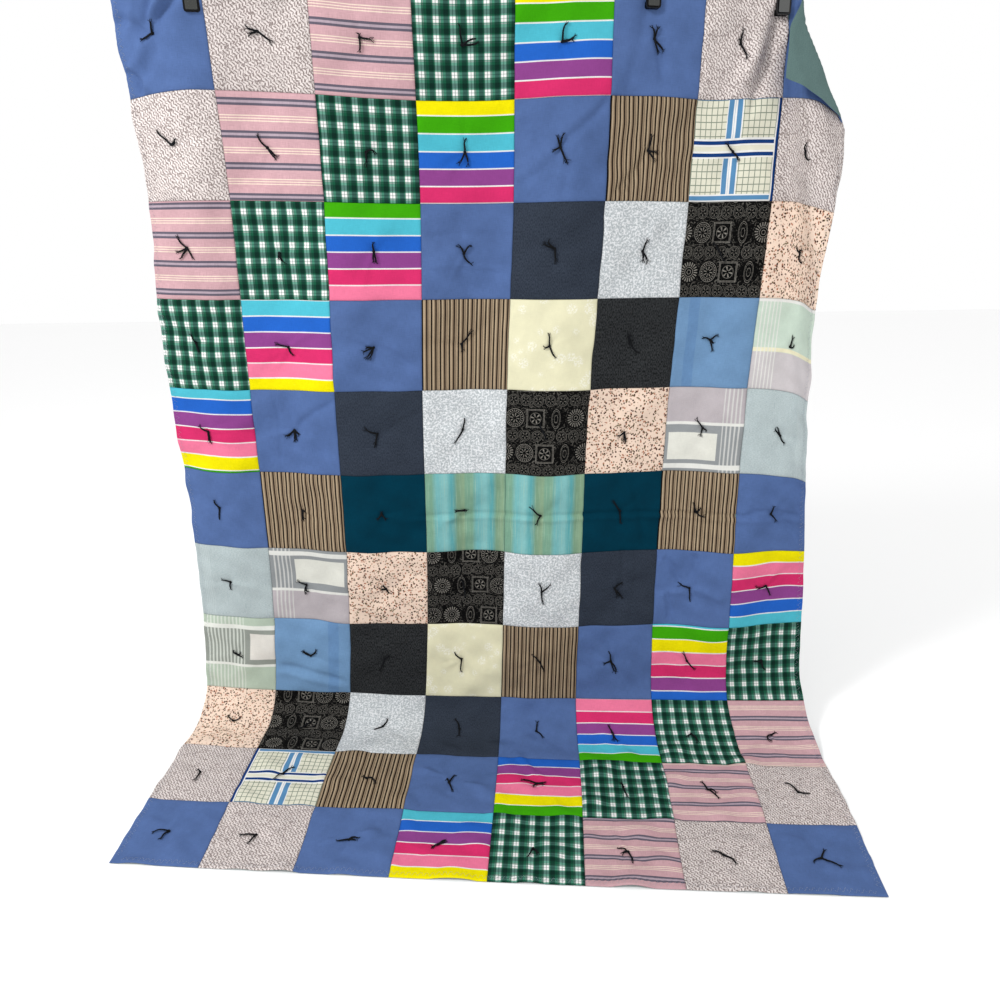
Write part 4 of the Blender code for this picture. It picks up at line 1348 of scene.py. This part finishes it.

# %% [markdown]
# ## The trouser clips
# Each clip is two black moulded jaws and the sprung steel strap that squeezes them. The
# CAD solids have the right shape and place, so a welded copy of each gets rounded edges
# with a Bevel, and moulded plastic or brushed steel for its finish. On a front jaw the
# broad face is set back as a panel in a lighter grey, which is painted highlight for the
# light that its glossy face catches.

# %% Clip finishes
def make_moulding():
    """What moulding and use leave on plastic: broad flow ripples and fine rubbed spots."""
    group, _, results = node_group("moulding marks", {}, ["Flow", "Rub"])
    x, y, z = place_on(group)
    feed(group, results["Flow"], noise(group, (x + y) / 0.006, z / 0.012, 2.0, 1.0))
    rub = noise(group, (x - y) / 0.0015, z / 0.0015, 3.0, 5.0)
    feed(group, results["Rub"], rub.step(0.55, 0.75))
    return group


MOULDING = make_moulding()


def plastic_material(name, dark, rubbed, shine):
    """Glossy black moulding: faint flow ripples and dull rubbed spots."""
    material, tree, shader = new_material(name, Specular_IOR_Level=shine)
    marks = placed(tree, MOULDING)
    flow, rub = marks["Flow"], marks["Rub"]
    feed(tree, shader.inputs["Base Color"], mix(tree, rub * 0.5, ink(*dark), ink(*rubbed)))
    feed(tree, shader.inputs["Roughness"], flow * 0.08 + rub * 0.20 + 0.06)
    roughen(tree, shader, flow, 0.15, 0.0005)
    return material


def steel_material():
    """Nickel-plated spring steel, brushed along the strap."""
    material, tree, shader = new_material("brushed spring steel", Metallic=1.0)
    x, y, z = place_on(tree)
    brush = noise(tree, x / 0.0003, (y + z) / 0.010, 2.0, 1.0)
    feed(tree, shader.inputs["Base Color"], mix(tree, brush, ink(150, 150, 152), ink(206, 206, 208)))
    feed(tree, shader.inputs["Roughness"], brush * 0.2 + 0.25)
    return material


PLASTIC = plastic_material("black moulded plastic", (5, 5, 7), (26, 26, 30), 0.16)
# painted highlight: the panel's lighter grey stands in for the light on the glossy front face
HIGHLIGHT_PANEL = plastic_material("grey panel with painted highlight", (40, 42, 40), (84, 86, 80), 0.5)
FINISH = {"front": PLASTIC, "back": PLASTIC, "spring": steel_material()}


RIM, RECESS = 0.0010, 0.0005  # width of the panel's rim, and how deep the panel is set


def set_back_panel(work):
    """The foremost broad face becomes a panel set back in a black rim."""
    broad = [face for face in work.faces if face.normal.y < -0.5 and face.calc_area() > 0.0004]
    panel = max(broad, key=lambda face: face.normal.dot(face.calc_center_median()))
    bmesh.ops.inset_region(work, faces=[panel], thickness=RIM, depth=-RECESS)
    # the panel takes the lighter grey of painted highlight
    panel.material_index = 1


def moulded(side, part):
    """A welded copy of a clip's CAD solid, with its flat facets joined and its edges
    rounded."""
    node = f"clip_{side}_{part}"
    work = bmesh.new()
    work.from_mesh(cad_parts[node].data)
    bmesh.ops.remove_doubles(work, verts=work.verts, dist=1e-5)
    bmesh.ops.dissolve_limit(work, angle_limit=np.radians(2), verts=work.verts, edges=work.edges)
    mesh = bpy.data.meshes.new(f"{part}_jaw_{side}" if part != "spring" else f"strap_{side}")
    mesh.materials.append(FINISH[part])
    if part == "front":
        set_back_panel(work)
        mesh.materials.append(HIGHLIGHT_PANEL)
    work.to_mesh(mesh)
    work.free()
    mesh.polygons.foreach_set("use_smooth", np.ones(len(mesh.polygons), bool))
    made = link(mesh.name, mesh)
    rounding = made.modifiers.new("rounding", "BEVEL")
    rounding.width = 0.0003 if part == "spring" else 0.0007
    rounding.segments = 2
    rounding.limit_method = "ANGLE"
    rounding.angle_limit = np.radians(40)
    made.modifiers.new("normals", "WEIGHTED_NORMAL").keep_sharp = True
    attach(made, "root")
    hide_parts(node)
    return made


clips = [moulded(side, part) for side in CLIPS for part in ("front", "back", "spring")]
print(len(clips), "clip pieces")

# %% [markdown]
# ## Floor, light and camera
# A plain pale floor with a wall-less surround, one broad soft light from above and in
# front, and a weaker one from the right, as in a bright shop.

# %% Stage
floor_mesh = bpy.data.meshes.new("floor")
floor_mesh.from_pydata([(-9, -9, 0), (9, -9, 0), (9, 9, 0), (-9, 9, 0)], [], [(0, 1, 2, 3)])
floor = link("floor", floor_mesh)
paint, _, _ = new_material("pale floor", Base_Color=(0.95, 0.95, 0.95, 1), Roughness=0.9)
floor_mesh.materials.append(paint)

world = bpy.data.worlds.new("pale room")
world.use_nodes = True
world.node_tree.nodes["Background"].inputs[0].default_value = (1, 1, 1, 1)
world.node_tree.nodes["Background"].inputs[1].default_value = 1.0
scene.world = world


def soft_light(name, place, aim, size, power):
    light = bpy.data.lights.new(name, "AREA")
    light.shape, light.size, light.energy = "DISK", size, power
    made = bpy.data.objects.new(name, light)
    made.location = place
    made.rotation_euler = (Vector(aim) - Vector(place)).to_track_quat("-Z", "Y").to_euler()
    scene.collection.objects.link(made)


soft_light("ceiling_light", (-2.3, -1.3, 3.1), (0, 0, 0.9), 0.7, 72)
soft_light("side_light", (2.4, -2.6, 2.6), (0, 0.2, 0.8), 1.2, 5)

AWAY, EYE_HEIGHT = 8.56, 6.20  # of the camera from the top edge's middle, in squares
camera = bpy.data.objects.new("camera", bpy.data.cameras.new("camera"))
camera.data.sensor_width, camera.data.lens = 36.0, 28.08
back_off = AWAY * SQUARE
camera.location = (np.sin(TURN) * back_off + MOVE[0], -np.cos(TURN) * back_off + MOVE[1], EYE_HEIGHT * SQUARE)
camera.rotation_euler = (np.radians(90 - 20.04), 0, TURN)
scene.collection.objects.link(camera)
scene.camera = camera
